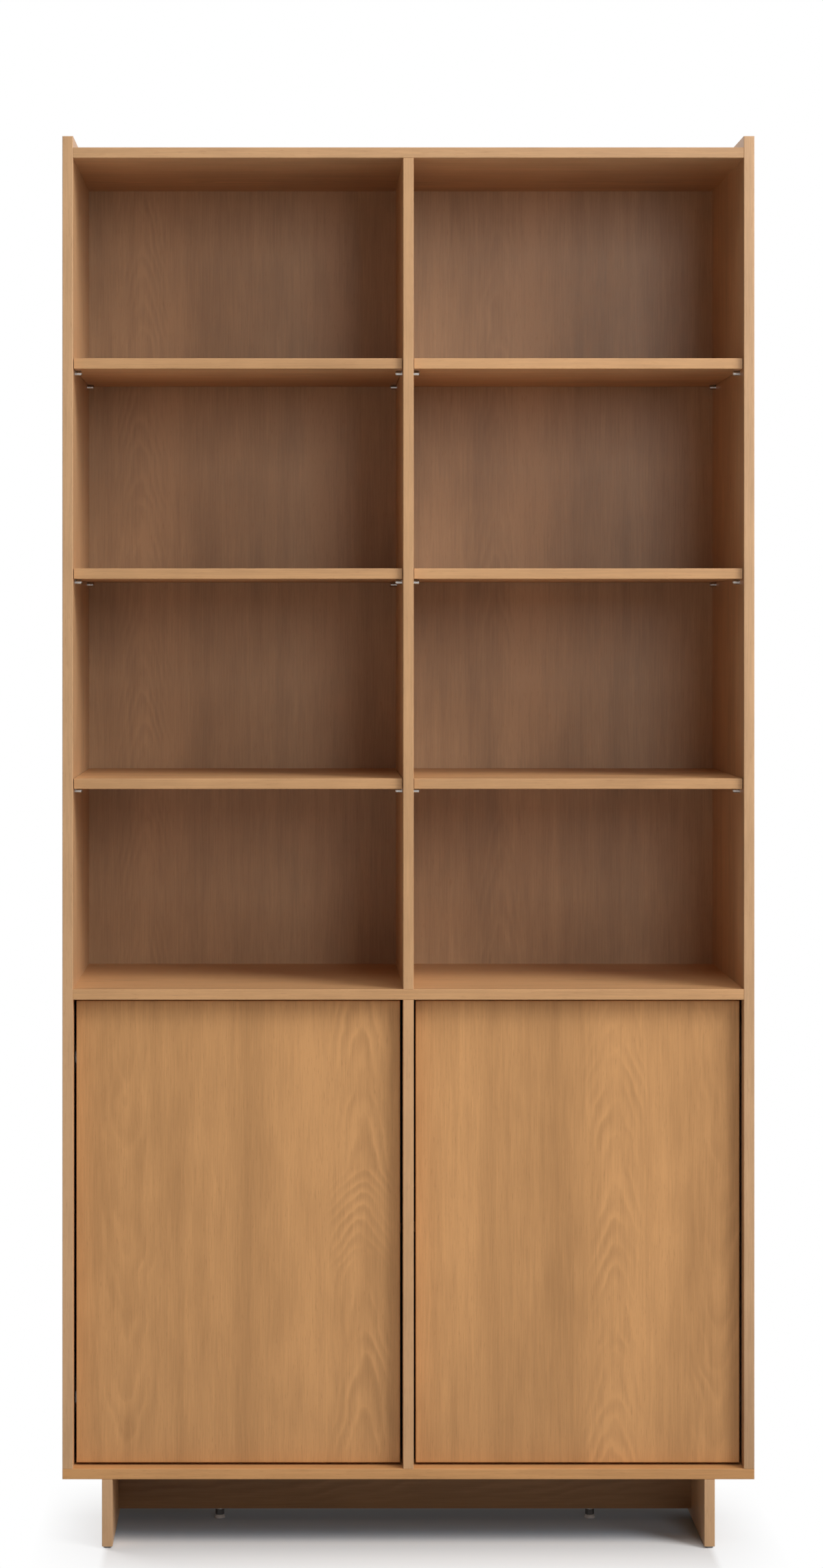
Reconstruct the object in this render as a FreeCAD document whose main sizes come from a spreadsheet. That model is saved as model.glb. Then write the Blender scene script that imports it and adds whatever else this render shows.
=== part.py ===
import FreeCAD, Part
import os
import re

import Sketcher

# Free-standing bookcase of oak-veneered board: two open bays of shelves over two cabinet bays
# with inset doors. Front faces -Y, +X is to the right, the floor is at Z = 0. Millimetres.

# Driving sizes: alias, value, what it is
SIZES = (
    ("overall_width", 980, "outside width over the side panels"),
    ("overall_depth", 380, "front edge to rear edge of the side panels"),
    ("overall_height", 2000, "floor to the top of the side panels"),
    ("carcass_board", 15, "thickness of sides, top, deck, bottom and dividers"),
    ("shelf_board", 15, "thickness of a loose shelf"),
    ("door_board", 15, "thickness of a door"),
    ("base_board", 15, "thickness of leg panels and base rail"),
    ("back_board", 5, "thickness of the back panels"),
    ("side_rise", 16, "how far the side panels stand above the top panel"),
    ("base_height", 98, "floor to the underside of the bottom panel"),
    ("deck_level", 792, "floor to the top of the middle deck"),
    ("back_rabbet", 8, "depth of the rabbet for the back panels, front to rear"),
    ("rabbet_width", 8, "how far the back panels lap onto a side panel"),
    ("edge_round", 1, "radius on the front edges of the boards"),
    ("leg_inset", 56, "outer face of a side panel to the outer face of a leg panel"),
    ("rail_setback", 165, "front edge to the front face of the base rail"),
    ("rail_clearance", 15, "floor to the underside of the base rail"),
    ("rail_dowel_inset", 20, "edge of the rail to the dowels in its ends"),
    ("rail_screw_offset", 150, "middle of the rail to the screws in its top edge"),
    ("glide_diameter", 12, "glide under a leg panel"),
    ("glide_height", 3, "leg panel to floor"),
    ("glide_inset", 9, "front or rear edge of a leg panel to its glide"),
    ("nail_diameter", 2.5, "nail of a glide"),
    ("nail_length", 12, "nail of a glide, in the leg panel"),
    ("foot_offset", 271, "middle of the rail to a levelling foot"),
    ("foot_diameter", 16, "pad of a levelling foot"),
    ("foot_rim", 2.5, "height of the pad's straight rim"),
    ("foot_cone", 2.5, "height of the cone above the rim"),
    ("foot_neck_diameter", 11, "top of the cone"),
    ("foot_nut_width", 13, "levelling foot's nut, corner to corner"),
    ("foot_nut_height", 8, "levelling foot's nut"),
    ("stem_diameter", 6, "threaded stem of a levelling foot"),
    ("stem_engagement", 12, "stem inside the rail"),
    ("insert_diameter", 9, "threaded insert in the rail"),
    ("insert_length", 14, "threaded insert in the rail"),
    ("insert_flange_diameter", 14, "flange of the insert, on the underside of the rail"),
    ("insert_flange_height", 1.5, "flange of the insert"),
    ("shelf_setback", 8, "front edge of the carcass to the front of an open shelf"),
    ("cabinet_shelf_setback", 57, "front edge of the carcass to the front of a cabinet shelf"),
    ("shelf_end_gap", 1, "shelf end to wall"),
    ("shelf_back_gap", 2, "shelf to back panel"),
    ("pin_inset", 40, "front or rear edge of a shelf to its pins"),
    ("peg_diameter", 5, "shelf pin, in the wall"),
    ("peg_length", 6, "shelf pin, in the wall"),
    ("rest_diameter", 7, "shelf pin, under the shelf"),
    ("rest_reach", 10, "shelf pin, out of the wall"),
    ("seat_gap", 0.2, "shelf to pin"),
    ("door_recess", 22, "front edge of the carcass to the face of a door"),
    ("door_gap", 3.5, "door edge to carcass, all round"),
    ("hinge_inset", 85, "top or bottom edge of a door to the middle of a hinge"),
    ("cup_diameter", 35, "hinge cup"),
    ("cup_depth", 11.5, "hinge cup, in the door"),
    ("cup_wall", 2, "wall of the cup"),
    ("cup_floor", 1.1, "floor of the cup"),
    ("cup_edge", 4, "door edge to the rim of the cup's hole"),
    ("cup_rim", 2, "width of the cup's rim on the door"),
    ("flange_thickness", 1.2, "rim and wings of the cup, on the door"),
    ("wing_length", 60, "wings of the cup, end to end"),
    ("wing_width", 14, "wings of the cup"),
    ("wing_offset", 9.5, "middle of the cup to the line of its screws"),
    ("cup_screw_spacing", 48, "between the two screws of a cup"),
    ("pivot_from_edge", 16, "door edge to the hinge pin"),
    ("pivot_depth", 5, "rear face of the door to the hinge pin"),
    ("pivot_diameter", 4, "hinge pin"),
    ("knuckle_diameter", 7.2, "end of the arm round the pin"),
    ("arm_width", 12, "hinge arm"),
    ("arm_thickness", 2.5, "hinge arm"),
    ("neck_reach", 12.5, "pin to the straight neck of the arm"),
    ("neck_slope", 0.7, "rise over run of the arm inside the cup"),
    ("crank_rise", 21.5, "pin to the crank of the arm"),
    ("arm_length", 76, "pin to the end of the arm"),
    ("arm_bend", 2, "inner radius of the arm's bends"),
    ("plate_thickness", 4, "mounting plate of a hinge"),
    ("plate_start", 28, "pin to the front end of the plate"),
    ("plate_length", 48, "mounting plate, front to rear"),
    ("plate_width", 16, "mounting plate's bar and wings"),
    ("plate_wing_span", 50, "mounting plate, over its wings"),
    ("plate_screw_spacing", 36, "between the two screws of a plate"),
    ("latch_offset", 35, "divider to the middle of the latch"),
    ("latch_width", 16, "latch housing"),
    ("latch_height", 20, "latch housing"),
    ("latch_length", 60, "latch housing"),
    ("latch_drop", 12, "underside of the deck to the plunger's axis"),
    ("latch_round", 2, "radius on the long edges of the housing"),
    ("ear_reach", 10, "screw ears of the housing, each side"),
    ("ear_thickness", 3, "screw ears of the housing"),
    ("ear_length", 14, "screw ears of the housing, front to rear"),
    ("plunger_diameter", 8, "latch plunger"),
    ("plunger_reach", 6, "plunger, out of its housing"),
    ("plunger_length", 26, "latch plunger"),
    ("plunger_travel", 4, "how far the plunger goes in"),
    ("plunger_round", 1, "radius on the plunger's tip"),
    ("strike_width", 24, "strike plate on the door"),
    ("strike_height", 14, "strike plate on the door"),
    ("strike_thickness", 1.2, "strike plate on the door"),
    ("strike_screw_spacing", 16, "between the two screws of a strike plate"),
    ("strike_gap", 0.3, "plunger to strike plate"),
    ("fixing_inset", 50, "front or rear edge of a board to its first fixing"),
    ("dowel_offset", 32, "fixing to the next dowel, along a joint"),
    ("dowel_diameter", 8, "wooden dowel"),
    ("dowel_length", 30, "wooden dowel"),
    ("dowel_in_face", 10, "dowel, in the face of a board"),
    ("cam_diameter", 15, "cam disc"),
    ("cam_depth", 12, "cam disc"),
    ("cam_distance", 24, "end of the board to the middle of its cam disc"),
    ("cam_bolt_diameter", 5, "thread of a cam bolt, in the side panel"),
    ("cam_bolt_depth", 10, "thread of a cam bolt, in the side panel"),
    ("cam_bolt_head", 7, "head of a cam bolt"),
    ("cam_bolt_bore", 8, "hole for the cam bolt in the end of the board"),
    ("screw_diameter", 5, "screw through the bottom, deck or top"),
    ("screw_length", 50, "screw through the bottom, deck or top"),
    ("screw_head_diameter", 9, "its head"),
    ("screw_head_height", 3, "its head, let into the board"),
    ("small_screw_diameter", 3.5, "screw of the back panels, hinges, latches and strikes"),
    ("small_screw_length", 13, "screw of the back panels, hinges, latches and strikes"),
    ("small_screw_head", 6.5, "head of the small screw"),
    ("small_head_height", 1.8, "head of the small screw"),
    ("back_screw_inset", 60, "edge of a back panel to the nearest screw of a row"),
    ("fit_clearance", 0.1, "hole over what sits in it, on the diameter"),
    ("running_clearance", 0.1, "hole over what turns or slides in it, on the diameter"),
    ("hole_spare", 1, "blind hole over what sits in it, in depth"),
)
SHELVES_PER_BAY = 3
NEAR = 1e-6  # how close two places are to count as one, millimetres
LEAST_CUT = 1e-3  # least that a pocket takes away, cubic millimetres

ALIASES = {name for name, _, _ in SIZES}
DOC = FreeCAD.newDocument("Bookcase")
SHEET = DOC.addObject("Spreadsheet::Sheet", "Sizes")
for row, (alias, size, note) in enumerate(SIZES, start=1):
    SHEET.set(f"A{row}", note)
    SHEET.set(f"B{row}", str(size))
    SHEET.setAlias(f"B{row}", alias)
DOC.recompute()

PARTS = {}


# Derived places, as expressions on the sheet's aliases
FRONT = "(-overall_depth/2)"
BACK_FACE = "(overall_depth/2 - back_rabbet)"
INNER_DEPTH = "(overall_depth - back_rabbet)"
INNER_WIDTH = "(overall_width - 2*carcass_board)"
BAY_WIDTH = "((overall_width - 3*carcass_board)/2)"
WALL = "(carcass_board - overall_width/2)"
SIDE_MIDDLE = "((carcass_board - overall_width)/2)"
CABINET_FLOOR = "(base_height + carcass_board)"
DECK_UNDERSIDE = "(deck_level - carcass_board)"
TOP_FACE = "(overall_height - side_rise)"
TOP_UNDERSIDE = "(overall_height - side_rise - carcass_board)"
LEG_MIDDLE = "(leg_inset + base_board/2 - overall_width/2)"
RAIL_MIDDLE = f"({FRONT} + rail_setback + base_board/2)"
DOOR_EDGE = f"({WALL} + door_gap)"
DOOR_BACK = f"({FRONT} + door_recess + door_board)"
DOOR_BOTTOM = f"({CABINET_FLOOR} + door_gap)"
DOOR_TOP = f"({DECK_UNDERSIDE} - door_gap)"
PIVOT_X = f"({DOOR_EDGE} + pivot_from_edge)"
PIVOT_Y = f"({DOOR_BACK} - pivot_depth)"
CUP_X = f"({DOOR_EDGE} + cup_edge + cup_diameter/2)"
HINGE_LEVELS = {"lower": f"({DOOR_BOTTOM} + hinge_inset)", "upper": f"({DOOR_TOP} - hinge_inset)"}
LATCH_X = "(-carcass_board/2 - latch_offset)"
LATCH_Z = f"({DECK_UNDERSIDE} - latch_drop)"
PLUNGER_TIP = f"({DOOR_BACK} + strike_thickness + strike_gap)"
LATCH_FRONT = f"({PLUNGER_TIP} + plunger_reach)"
EAR_MIDDLE = f"({LATCH_FRONT} + latch_length/2)"

# Fixing lines across the depth: screws and cams first, then dowels, then a second row of dowels
FIXINGS = (f"({FRONT} + fixing_inset)", f"({BACK_FACE} - fixing_inset)")
DOWELS = (f"({FIXINGS[0]} + dowel_offset)", f"({FIXINGS[1]} - dowel_offset)")
INNER_DOWELS = (f"({DOWELS[0]} + dowel_offset)", f"({DOWELS[1]} - dowel_offset)")

DOWEL_HOLE = "dowel_diameter + fit_clearance"
DOWEL_IN_FACE = "dowel_in_face + hole_spare"
DOWEL_IN_EDGE = "dowel_length - dowel_in_face + hole_spare"
SCREW_HOLE = "screw_diameter + fit_clearance"
SCREW_HEAD_HOLE = "screw_head_diameter + fit_clearance"
SCREW_IN_EDGE = "screw_length - carcass_board + hole_spare"
SMALL_SCREW_HOLE = "small_screw_diameter + fit_clearance"

SHELF_CLEAR = (
    f"(({TOP_UNDERSIDE} - deck_level - {SHELVES_PER_BAY}*shelf_board)/{SHELVES_PER_BAY + 1})"
)
SHELF_UNDERSIDES = [
    f"(deck_level + {number}*{SHELF_CLEAR} + {number - 1}*shelf_board)"
    for number in range(1, SHELVES_PER_BAY + 1)
]
CABINET_SHELF_UNDERSIDE = f"(({CABINET_FLOOR} + {DECK_UNDERSIDE} - shelf_board)/2)"
SHELF_REAR = f"({BACK_FACE} - shelf_back_gap)"


def bound(expression):
    """Puts the sheet's name before each of its aliases in an expression."""
    return re.sub(r"[a-z_]+", lambda word: named(word.group()), expression)


def named(word):
    return f"Sizes.{word}" if word in ALIASES else word


def value(expression):
    """Present value of an expression, in millimetres."""
    return float(SHEET.evalExpression(bound(expression)))


def bind(item, name, expression):
    item.setExpression(name, bound(expression))


def local(coordinate, origin):
    return f"({coordinate}) - ({origin})"


def opposite(expression):
    return f"(-({expression}))"


def keep(label, item):
    """Gives an object its name in the assembly and lists it for writing."""
    item.Label = label
    PARTS[label] = item
    return item


def new_body(label, corner):
    body = DOC.addObject("PartDesign::Body", label)
    for axis, expression in zip("xyz", corner):
        bind(body, f"Placement.Base.{axis}", expression)
    return keep(label, body)


def new_sketch(body, name, role, level="0"):
    """Empty sketch on one of the body's origin planes, moved along the plane's normal."""
    sketch = body.newObject("Sketcher::SketchObject", name)
    plane = next(plane for plane in body.Origin.OriginFeatures if plane.Role == role)
    sketch.AttachmentSupport = [(plane, "")]
    sketch.MapMode = "FlatFace"
    bind(sketch, "AttachmentOffset.Base.z", level)
    return sketch


def set_distance(sketch, kind, geometry, point, expression):
    """Ties one coordinate of a point to an expression, or to the axis where it is nought."""
    if expression == "0":
        axis = -2 if kind == "DistanceX" else -1
        sketch.addConstraint(Sketcher.Constraint("PointOnObject", geometry, point, axis))
        return
    tie = Sketcher.Constraint(kind, -1, 1, geometry, point, value(expression))
    bind(sketch, f"Constraints[{sketch.addConstraint(tie)}]", expression)


def draw_polygon(sketch, corners):
    """Closed outline through corners given as pairs of expressions."""
    points = [FreeCAD.Vector(value(x), value(y), 0) for x, y in corners]
    first = sketch.GeometryCount
    count = len(points)
    for start, end in zip(points, points[1:] + points[:1]):
        sketch.addGeometry(Part.LineSegment(start, end), False)
    for side in range(count):
        after = first + (side + 1) % count
        sketch.addConstraint(Sketcher.Constraint("Coincident", first + side, 2, after, 1))
    for side, (x, y) in enumerate(corners):
        set_distance(sketch, "DistanceX", first + side, 1, x)
        set_distance(sketch, "DistanceY", first + side, 1, y)


def draw_circle(sketch, x, y, diameter):
    middle = FreeCAD.Vector(value(x), value(y), 0)
    circle = Part.Circle(middle, FreeCAD.Vector(0, 0, 1), value(diameter) / 2)
    geometry = sketch.addGeometry(circle, False)
    tie = Sketcher.Constraint("Diameter", geometry, value(diameter))
    bind(sketch, f"Constraints[{sketch.addConstraint(tie)}]", diameter)
    set_distance(sketch, "DistanceX", geometry, 3, x)
    set_distance(sketch, "DistanceY", geometry, 3, y)


def rectangle(x_low, y_low, x_high, y_high):
    return [(x_low, y_low), (x_high, y_low), (x_high, y_high), (x_low, y_high)]


def extrude(body, kind, sketch, length, reverse=False):
    """Pad along the sketch's normal, or Pocket against it, turned round by reverse."""
    feature = body.newObject(f"PartDesign::{kind}", f"{sketch.Name}_{kind.lower()}")
    feature.Profile = sketch
    bind(feature, "Length", length)
    feature.Reversed = reverse
    return feature


def round_edges(body, radius, wanted):
    """Rounds those edges of the body whose box passes the test."""
    DOC.recompute()
    base = body.Tip
    edges = [f"Edge{i}" for i, edge in enumerate(base.Shape.Edges, start=1) if wanted(edge.BoundBox)]
    fillet = body.newObject("PartDesign::Fillet", f"{body.Name}_rounding")
    fillet.Base = (base, edges)
    bind(fillet, "Radius", radius)


def mirrored(label, source):
    """The right-hand twin of a left-hand piece."""
    twin = DOC.addObject("Part::Mirroring", label)
    twin.Source = source
    twin.Normal = FreeCAD.Vector(1, 0, 0)
    return keep(label, twin)


class Board:
    """A board with its lowest corner and its size as expressions, bored from its faces."""

    # Face: plane, the two axes in that plane, whether a hole from there runs along the normal
    FACES = {
        "left": ("YZ_Plane", (1, 2), True),
        "right": ("YZ_Plane", (1, 2), False),
        "front": ("XZ_Plane", (0, 2), False),
        "rear": ("XZ_Plane", (0, 2), True),
        "bottom": ("XY_Plane", (0, 1), True),
        "top": ("XY_Plane", (0, 1), False),
    }

    def __init__(self, label, corner, size, outline=None):
        self.label = label
        self.corner = corner
        self.levels = {
            "left": "0",
            "right": size[0],
            "front": "0",
            "rear": opposite(size[1]),
            "bottom": "0",
            "top": size[2],
        }
        self.body = new_body(label, corner)
        sketch = new_sketch(self.body, f"{label}_outline", "XY_Plane")
        draw_polygon(sketch, outline or rectangle("0", "0", size[0], size[1]))
        extrude(self.body, "Pad", sketch, size[2])

    def bore(self, name, face, centres, diameter, depth):
        """Blind holes from one face, at centres given in the assembly's own coordinates."""
        role, axes, along = self.FACES[face]
        sketch = new_sketch(self.body, f"{self.label}_{name}", role, self.levels[face])
        for centre in centres:
            u, v = (local(place, self.corner[axis]) for place, axis in zip(centre, axes))
            draw_circle(sketch, u, v, diameter)
        extrude(self.body, "Pocket", sketch, depth, along)

    def round_front(self, upright=True, level=True):
        """Rounds the upright or the level edges of the front face."""

        def at_front(box):
            is_upright = box.ZLength > box.XLength
            return box.YMax < NEAR and (upright if is_upright else level)

        round_edges(self.body, "edge_round", at_front)


def turned(profile):
    """Solid of revolution about Z through (radius, height) points."""
    points = [FreeCAD.Vector(radius, 0, height) for radius, height in profile]
    face = Part.Face(Part.makePolygon(points + points[:1]))
    return face.revolve(FreeCAD.Vector(0, 0, 0), FreeCAD.Vector(0, 0, 1), 360)


def group(label, shape, spots):
    """Like pieces as one node: copies of a shape, each at a place and turned to a direction."""
    copies = []
    for place, direction in spots:
        copy = shape.copy()
        turn = FreeCAD.Rotation(FreeCAD.Vector(0, 0, 1), FreeCAD.Vector(*direction))
        copy.Placement = FreeCAD.Placement(FreeCAD.Vector(*map(value, place)), turn)
        copies.append(copy)
    item = DOC.addObject("Part::Feature", label)
    item.Shape = Part.makeCompound(copies)
    return keep(label, item)


UP = (0, 0, 1)
DOWN = (0, 0, -1)
LEFTWARD = (-1, 0, 0)
RIGHTWARD = (1, 0, 0)
FORWARD = (0, -1, 0)


def pin_lines(setback):
    """Front and rear line of the pins under a shelf that starts at a setback."""
    return (f"({FRONT} + {setback} + pin_inset)", f"({SHELF_REAR} - pin_inset)")


def pin_level(underside):
    return f"({underside} - seat_gap - rest_diameter/2)"


def open_pins():
    """Where the pins of the open shelves meet a wall, as (y, z)."""
    return [
        (line, pin_level(underside))
        for underside in SHELF_UNDERSIDES
        for line in pin_lines("shelf_setback")
    ]


def cabinet_pins():
    """Where the pins of a cabinet shelf meet a wall, as (y, z)."""
    level = pin_level(CABINET_SHELF_UNDERSIDE)
    return [(line, level) for line in pin_lines("cabinet_shelf_setback")]


PIN_HOLE = "peg_diameter + fit_clearance"
PIN_HOLE_DEPTH = "peg_length + hole_spare"
BOARD_AXES = (f"({TOP_FACE} - carcass_board/2)", "(deck_level - carcass_board/2)")
PLATE_SCREW_Y = f"({PIVOT_Y} + plate_start + plate_length/2)"


def plate_screws():
    """Where the hinge plates are screwed to a side panel, as (y, z)."""
    return [
        (PLATE_SCREW_Y, f"({level} {sign} plate_screw_spacing/2)")
        for level in HINGE_LEVELS.values()
        for sign in "-+"
    ]


def make_side_panels():
    """Side panel with a rabbet along its inner rear edge."""
    inner_rear = "carcass_board - rabbet_width"
    outline = [
        ("0", "0"),
        ("carcass_board", "0"),
        ("carcass_board", INNER_DEPTH),
        (inner_rear, INNER_DEPTH),
        (inner_rear, "overall_depth"),
        ("0", "overall_depth"),
    ]
    panel = Board(
        "left_side_panel",
        ("-overall_width/2", FRONT, CABINET_FLOOR),
        ("carcass_board", "overall_depth", f"overall_height - {CABINET_FLOOR}"),
        outline,
    )
    height = value(f"overall_height - {CABINET_FLOOR}")
    round_edges(
        panel.body,
        "edge_round",
        lambda box: box.YMax < NEAR and (box.ZLength > box.XLength or box.ZMin > height - NEAR),
    )
    panel.bore("pin_holes", "right", open_pins() + cabinet_pins(), PIN_HOLE, PIN_HOLE_DEPTH)
    cams = [(line, level) for level in BOARD_AXES for line in FIXINGS]
    cam_hole = "cam_bolt_diameter + fit_clearance"
    panel.bore("cam_bolt_holes", "right", cams, cam_hole, "cam_bolt_depth + hole_spare")
    dowels = [(line, level) for level in BOARD_AXES for line in DOWELS]
    panel.bore("dowel_holes", "right", dowels, DOWEL_HOLE, DOWEL_IN_FACE)
    plate_depth = "small_screw_length - plate_thickness + hole_spare"
    panel.bore("hinge_holes", "right", plate_screws(), SMALL_SCREW_HOLE, plate_depth)
    foot_dowels = [(SIDE_MIDDLE, line) for line in DOWELS]
    panel.bore("foot_dowel_holes", "bottom", foot_dowels, DOWEL_HOLE, DOWEL_IN_EDGE)
    foot_screws = [(SIDE_MIDDLE, line) for line in FIXINGS]
    panel.bore("foot_screw_holes", "bottom", foot_screws, SCREW_HOLE, SCREW_IN_EDGE)
    side_back_screws = [(x, z) for x, z in back_screws() if x == BACK_SCREW_X]
    bore_rear_screws(panel, side_back_screws)
    mirrored("right_side_panel", panel.body)


BACK_SCREW_X = f"({WALL} - rabbet_width/2)"
BACK_SPLIT = "(deck_level - carcass_board/2)"


def back_screw_levels():
    """Levels of the screws along an upright row of each back panel."""
    low = f"({BACK_SPLIT} + back_screw_inset)"
    high = f"({TOP_FACE} - back_screw_inset)"
    upper = [low, f"(({low} + 2*{high})/3)", f"((2*{low} + {high})/3)", high]
    lower = [f"({CABINET_FLOOR} + back_screw_inset)", f"({BACK_SPLIT} - back_screw_inset)"]
    return {"upper": upper, "lower": lower}


def back_screws():
    """Every screw of the back panels, as (x, z): rows into both sides and the dividers."""
    columns = (BACK_SCREW_X, "0", opposite(BACK_SCREW_X))
    levels = [level for row in back_screw_levels().values() for level in row]
    return [(x, z) for x in columns for z in levels]


def bore_rear_screws(board, centres):
    """Pilot holes for the back panels' screws, from the plane that the panels lie on."""
    sketch = new_sketch(board.body, f"{board.label}_back_holes", "XZ_Plane", opposite(INNER_DEPTH))
    for x, z in centres:
        draw_circle(sketch, local(x, board.corner[0]), local(z, board.corner[2]), SMALL_SCREW_HOLE)
    extrude(board.body, "Pocket", sketch, "small_screw_length - back_board + hole_spare", True)


def bore_board_ends(board, level, cam_face):
    """Dowel holes, cam bolt bores and cam pockets at both ends of a board between the sides."""
    dowels = [(line, level) for line in DOWELS]
    bolts = [(line, level) for line in FIXINGS]
    for face in ("left", "right"):
        board.bore(f"{face}_dowel_holes", face, dowels, DOWEL_HOLE, DOWEL_IN_EDGE)
        board.bore(f"{face}_cam_bolt_bores", face, bolts, "cam_bolt_bore", "cam_distance")
    cam_x = f"({WALL} + cam_distance)"
    cams = [(x, line) for x in (cam_x, opposite(cam_x)) for line in FIXINGS]
    board.bore("cam_pockets", cam_face, cams, "cam_diameter + fit_clearance", "cam_depth")


def bore_screws(board, name, face, centres):
    """Through holes with let-in heads, from the face that the heads lie in."""
    board.bore(f"{name}_heads", face, centres, SCREW_HEAD_HOLE, "screw_head_height")
    board.bore(f"{name}_shanks", face, centres, SCREW_HOLE, "carcass_board")


MIDDLE_SCREWS = [("0", line) for line in FIXINGS]
MIDDLE_DOWELS = [("0", line) for line in DOWELS]
MIDDLE_INNER_DOWELS = [("0", line) for line in INNER_DOWELS]


def make_top_panel():
    panel = Board(
        "top_panel", (WALL, FRONT, TOP_UNDERSIDE), (INNER_WIDTH, INNER_DEPTH, "carcass_board")
    )
    panel.round_front(upright=False)
    bore_board_ends(panel, BOARD_AXES[0], "top")
    bore_screws(panel, "divider_screws", "top", MIDDLE_SCREWS)
    panel.bore("divider_dowel_holes", "bottom", MIDDLE_DOWELS, DOWEL_HOLE, DOWEL_IN_FACE)


def make_middle_deck():
    deck = Board(
        "middle_deck", (WALL, FRONT, DECK_UNDERSIDE), (INNER_WIDTH, INNER_DEPTH, "carcass_board")
    )
    deck.round_front(upright=False)
    bore_board_ends(deck, BOARD_AXES[1], "bottom")
    bore_screws(deck, "divider_screws", "bottom", MIDDLE_SCREWS)
    deck.bore("upper_dowel_holes", "top", MIDDLE_DOWELS, DOWEL_HOLE, DOWEL_IN_FACE)
    deck.bore("lower_dowel_holes", "bottom", MIDDLE_INNER_DOWELS, DOWEL_HOLE, DOWEL_IN_FACE)
    latches = latch_screws()
    latch_depth = "small_screw_length - ear_thickness + hole_spare"
    deck.bore("latch_holes", "bottom", latches, SMALL_SCREW_HOLE, latch_depth)


def latch_screws():
    """Screws through the ears of both latch housings, as (x, y)."""
    reach = "(latch_width + ear_reach)/2"
    left = [f"({LATCH_X} - {reach})", f"({LATCH_X} + {reach})"]
    return [(x, EAR_MIDDLE) for x in left + [opposite(place) for place in left]]


def floor_screws():
    """Screws from the cabinet floor down into the leg panels and the rail, as (x, y)."""
    legs = [(x, line) for x in (LEG_MIDDLE, opposite(LEG_MIDDLE)) for line in FIXINGS]
    rail = [(x, RAIL_MIDDLE) for x in ("-rail_screw_offset", "rail_screw_offset")]
    return legs + rail


def foot_screws():
    """Screws from below up into the side panels and the lower divider, as (x, y)."""
    columns = (SIDE_MIDDLE, "0", opposite(SIDE_MIDDLE))
    return [(x, line) for x in columns for line in FIXINGS]


def foot_dowels():
    """Dowels from the bottom panel up into the side panels and the lower divider, as (x, y)."""
    columns = (SIDE_MIDDLE, "0", opposite(SIDE_MIDDLE))
    return [(x, line) for x in columns for line in DOWELS]


def leg_dowels():
    """Dowels between the bottom panel and the leg panels, as (x, y)."""
    return [(x, line) for x in (LEG_MIDDLE, opposite(LEG_MIDDLE)) for line in DOWELS]


def make_bottom_panel():
    panel = Board(
        "bottom_panel",
        ("-overall_width/2", FRONT, "base_height"),
        ("overall_width", "overall_depth", "carcass_board"),
    )
    panel.round_front()
    bore_screws(panel, "side_screws", "bottom", foot_screws())
    bore_screws(panel, "leg_screws", "top", floor_screws())
    panel.bore("side_dowel_holes", "top", foot_dowels(), DOWEL_HOLE, DOWEL_IN_FACE)
    panel.bore("leg_dowel_holes", "bottom", leg_dowels(), DOWEL_HOLE, DOWEL_IN_FACE)


def make_dividers():
    corner_x = "-carcass_board/2"
    upper = Board(
        "upper_divider",
        (corner_x, FRONT, "deck_level"),
        ("carcass_board", INNER_DEPTH, f"{TOP_UNDERSIDE} - deck_level"),
    )
    upper.round_front(level=False)
    lower = Board(
        "lower_divider",
        (corner_x, FRONT, CABINET_FLOOR),
        ("carcass_board", INNER_DEPTH, f"{DECK_UNDERSIDE} - {CABINET_FLOOR}"),
    )
    lower.round_front(level=False)
    for face in ("left", "right"):
        upper.bore(f"{face}_pin_holes", face, open_pins(), PIN_HOLE, "peg_length + fit_clearance")
        lower.bore(f"{face}_pin_holes", face, cabinet_pins(), PIN_HOLE, "peg_length + fit_clearance")
    for face in ("bottom", "top"):
        upper.bore(f"{face}_dowel_holes", face, MIDDLE_DOWELS, DOWEL_HOLE, DOWEL_IN_EDGE)
        upper.bore(f"{face}_screw_holes", face, MIDDLE_SCREWS, SCREW_HOLE, SCREW_IN_EDGE)
    lower.bore("bottom_dowel_holes", "bottom", MIDDLE_DOWELS, DOWEL_HOLE, DOWEL_IN_EDGE)
    lower.bore("bottom_screw_holes", "bottom", MIDDLE_SCREWS, SCREW_HOLE, SCREW_IN_EDGE)
    lower.bore("top_dowel_holes", "top", MIDDLE_INNER_DOWELS, DOWEL_HOLE, DOWEL_IN_EDGE)
    levels = back_screw_levels()
    bore_rear_screws(upper, [("0", z) for z in levels["upper"]])
    bore_rear_screws(lower, [("0", z) for z in levels["lower"]])


def make_back_panels():
    """Two thin panels that lie in the side panels' rabbets and meet behind the deck."""
    spans = {"upper": (BACK_SPLIT, TOP_FACE), "lower": (CABINET_FLOOR, BACK_SPLIT)}
    left = f"({WALL} - rabbet_width + fit_clearance)"
    for name, (low, high) in spans.items():
        panel = Board(
            f"{name}_back_panel",
            (left, BACK_FACE, low),
            (f"-2*{left}", "back_board", f"{high} - {low}"),
        )
        levels = back_screw_levels()[name]
        centres = [(x, z) for x, z in back_screws() if z in levels]
        panel.bore("screw_holes", "rear", centres, SMALL_SCREW_HOLE, "back_board")
    spots = [((x, f"{BACK_FACE} + back_board", z), FORWARD) for x, z in back_screws()]
    group("back_panel_screws", small_screw(), spots)


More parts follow.
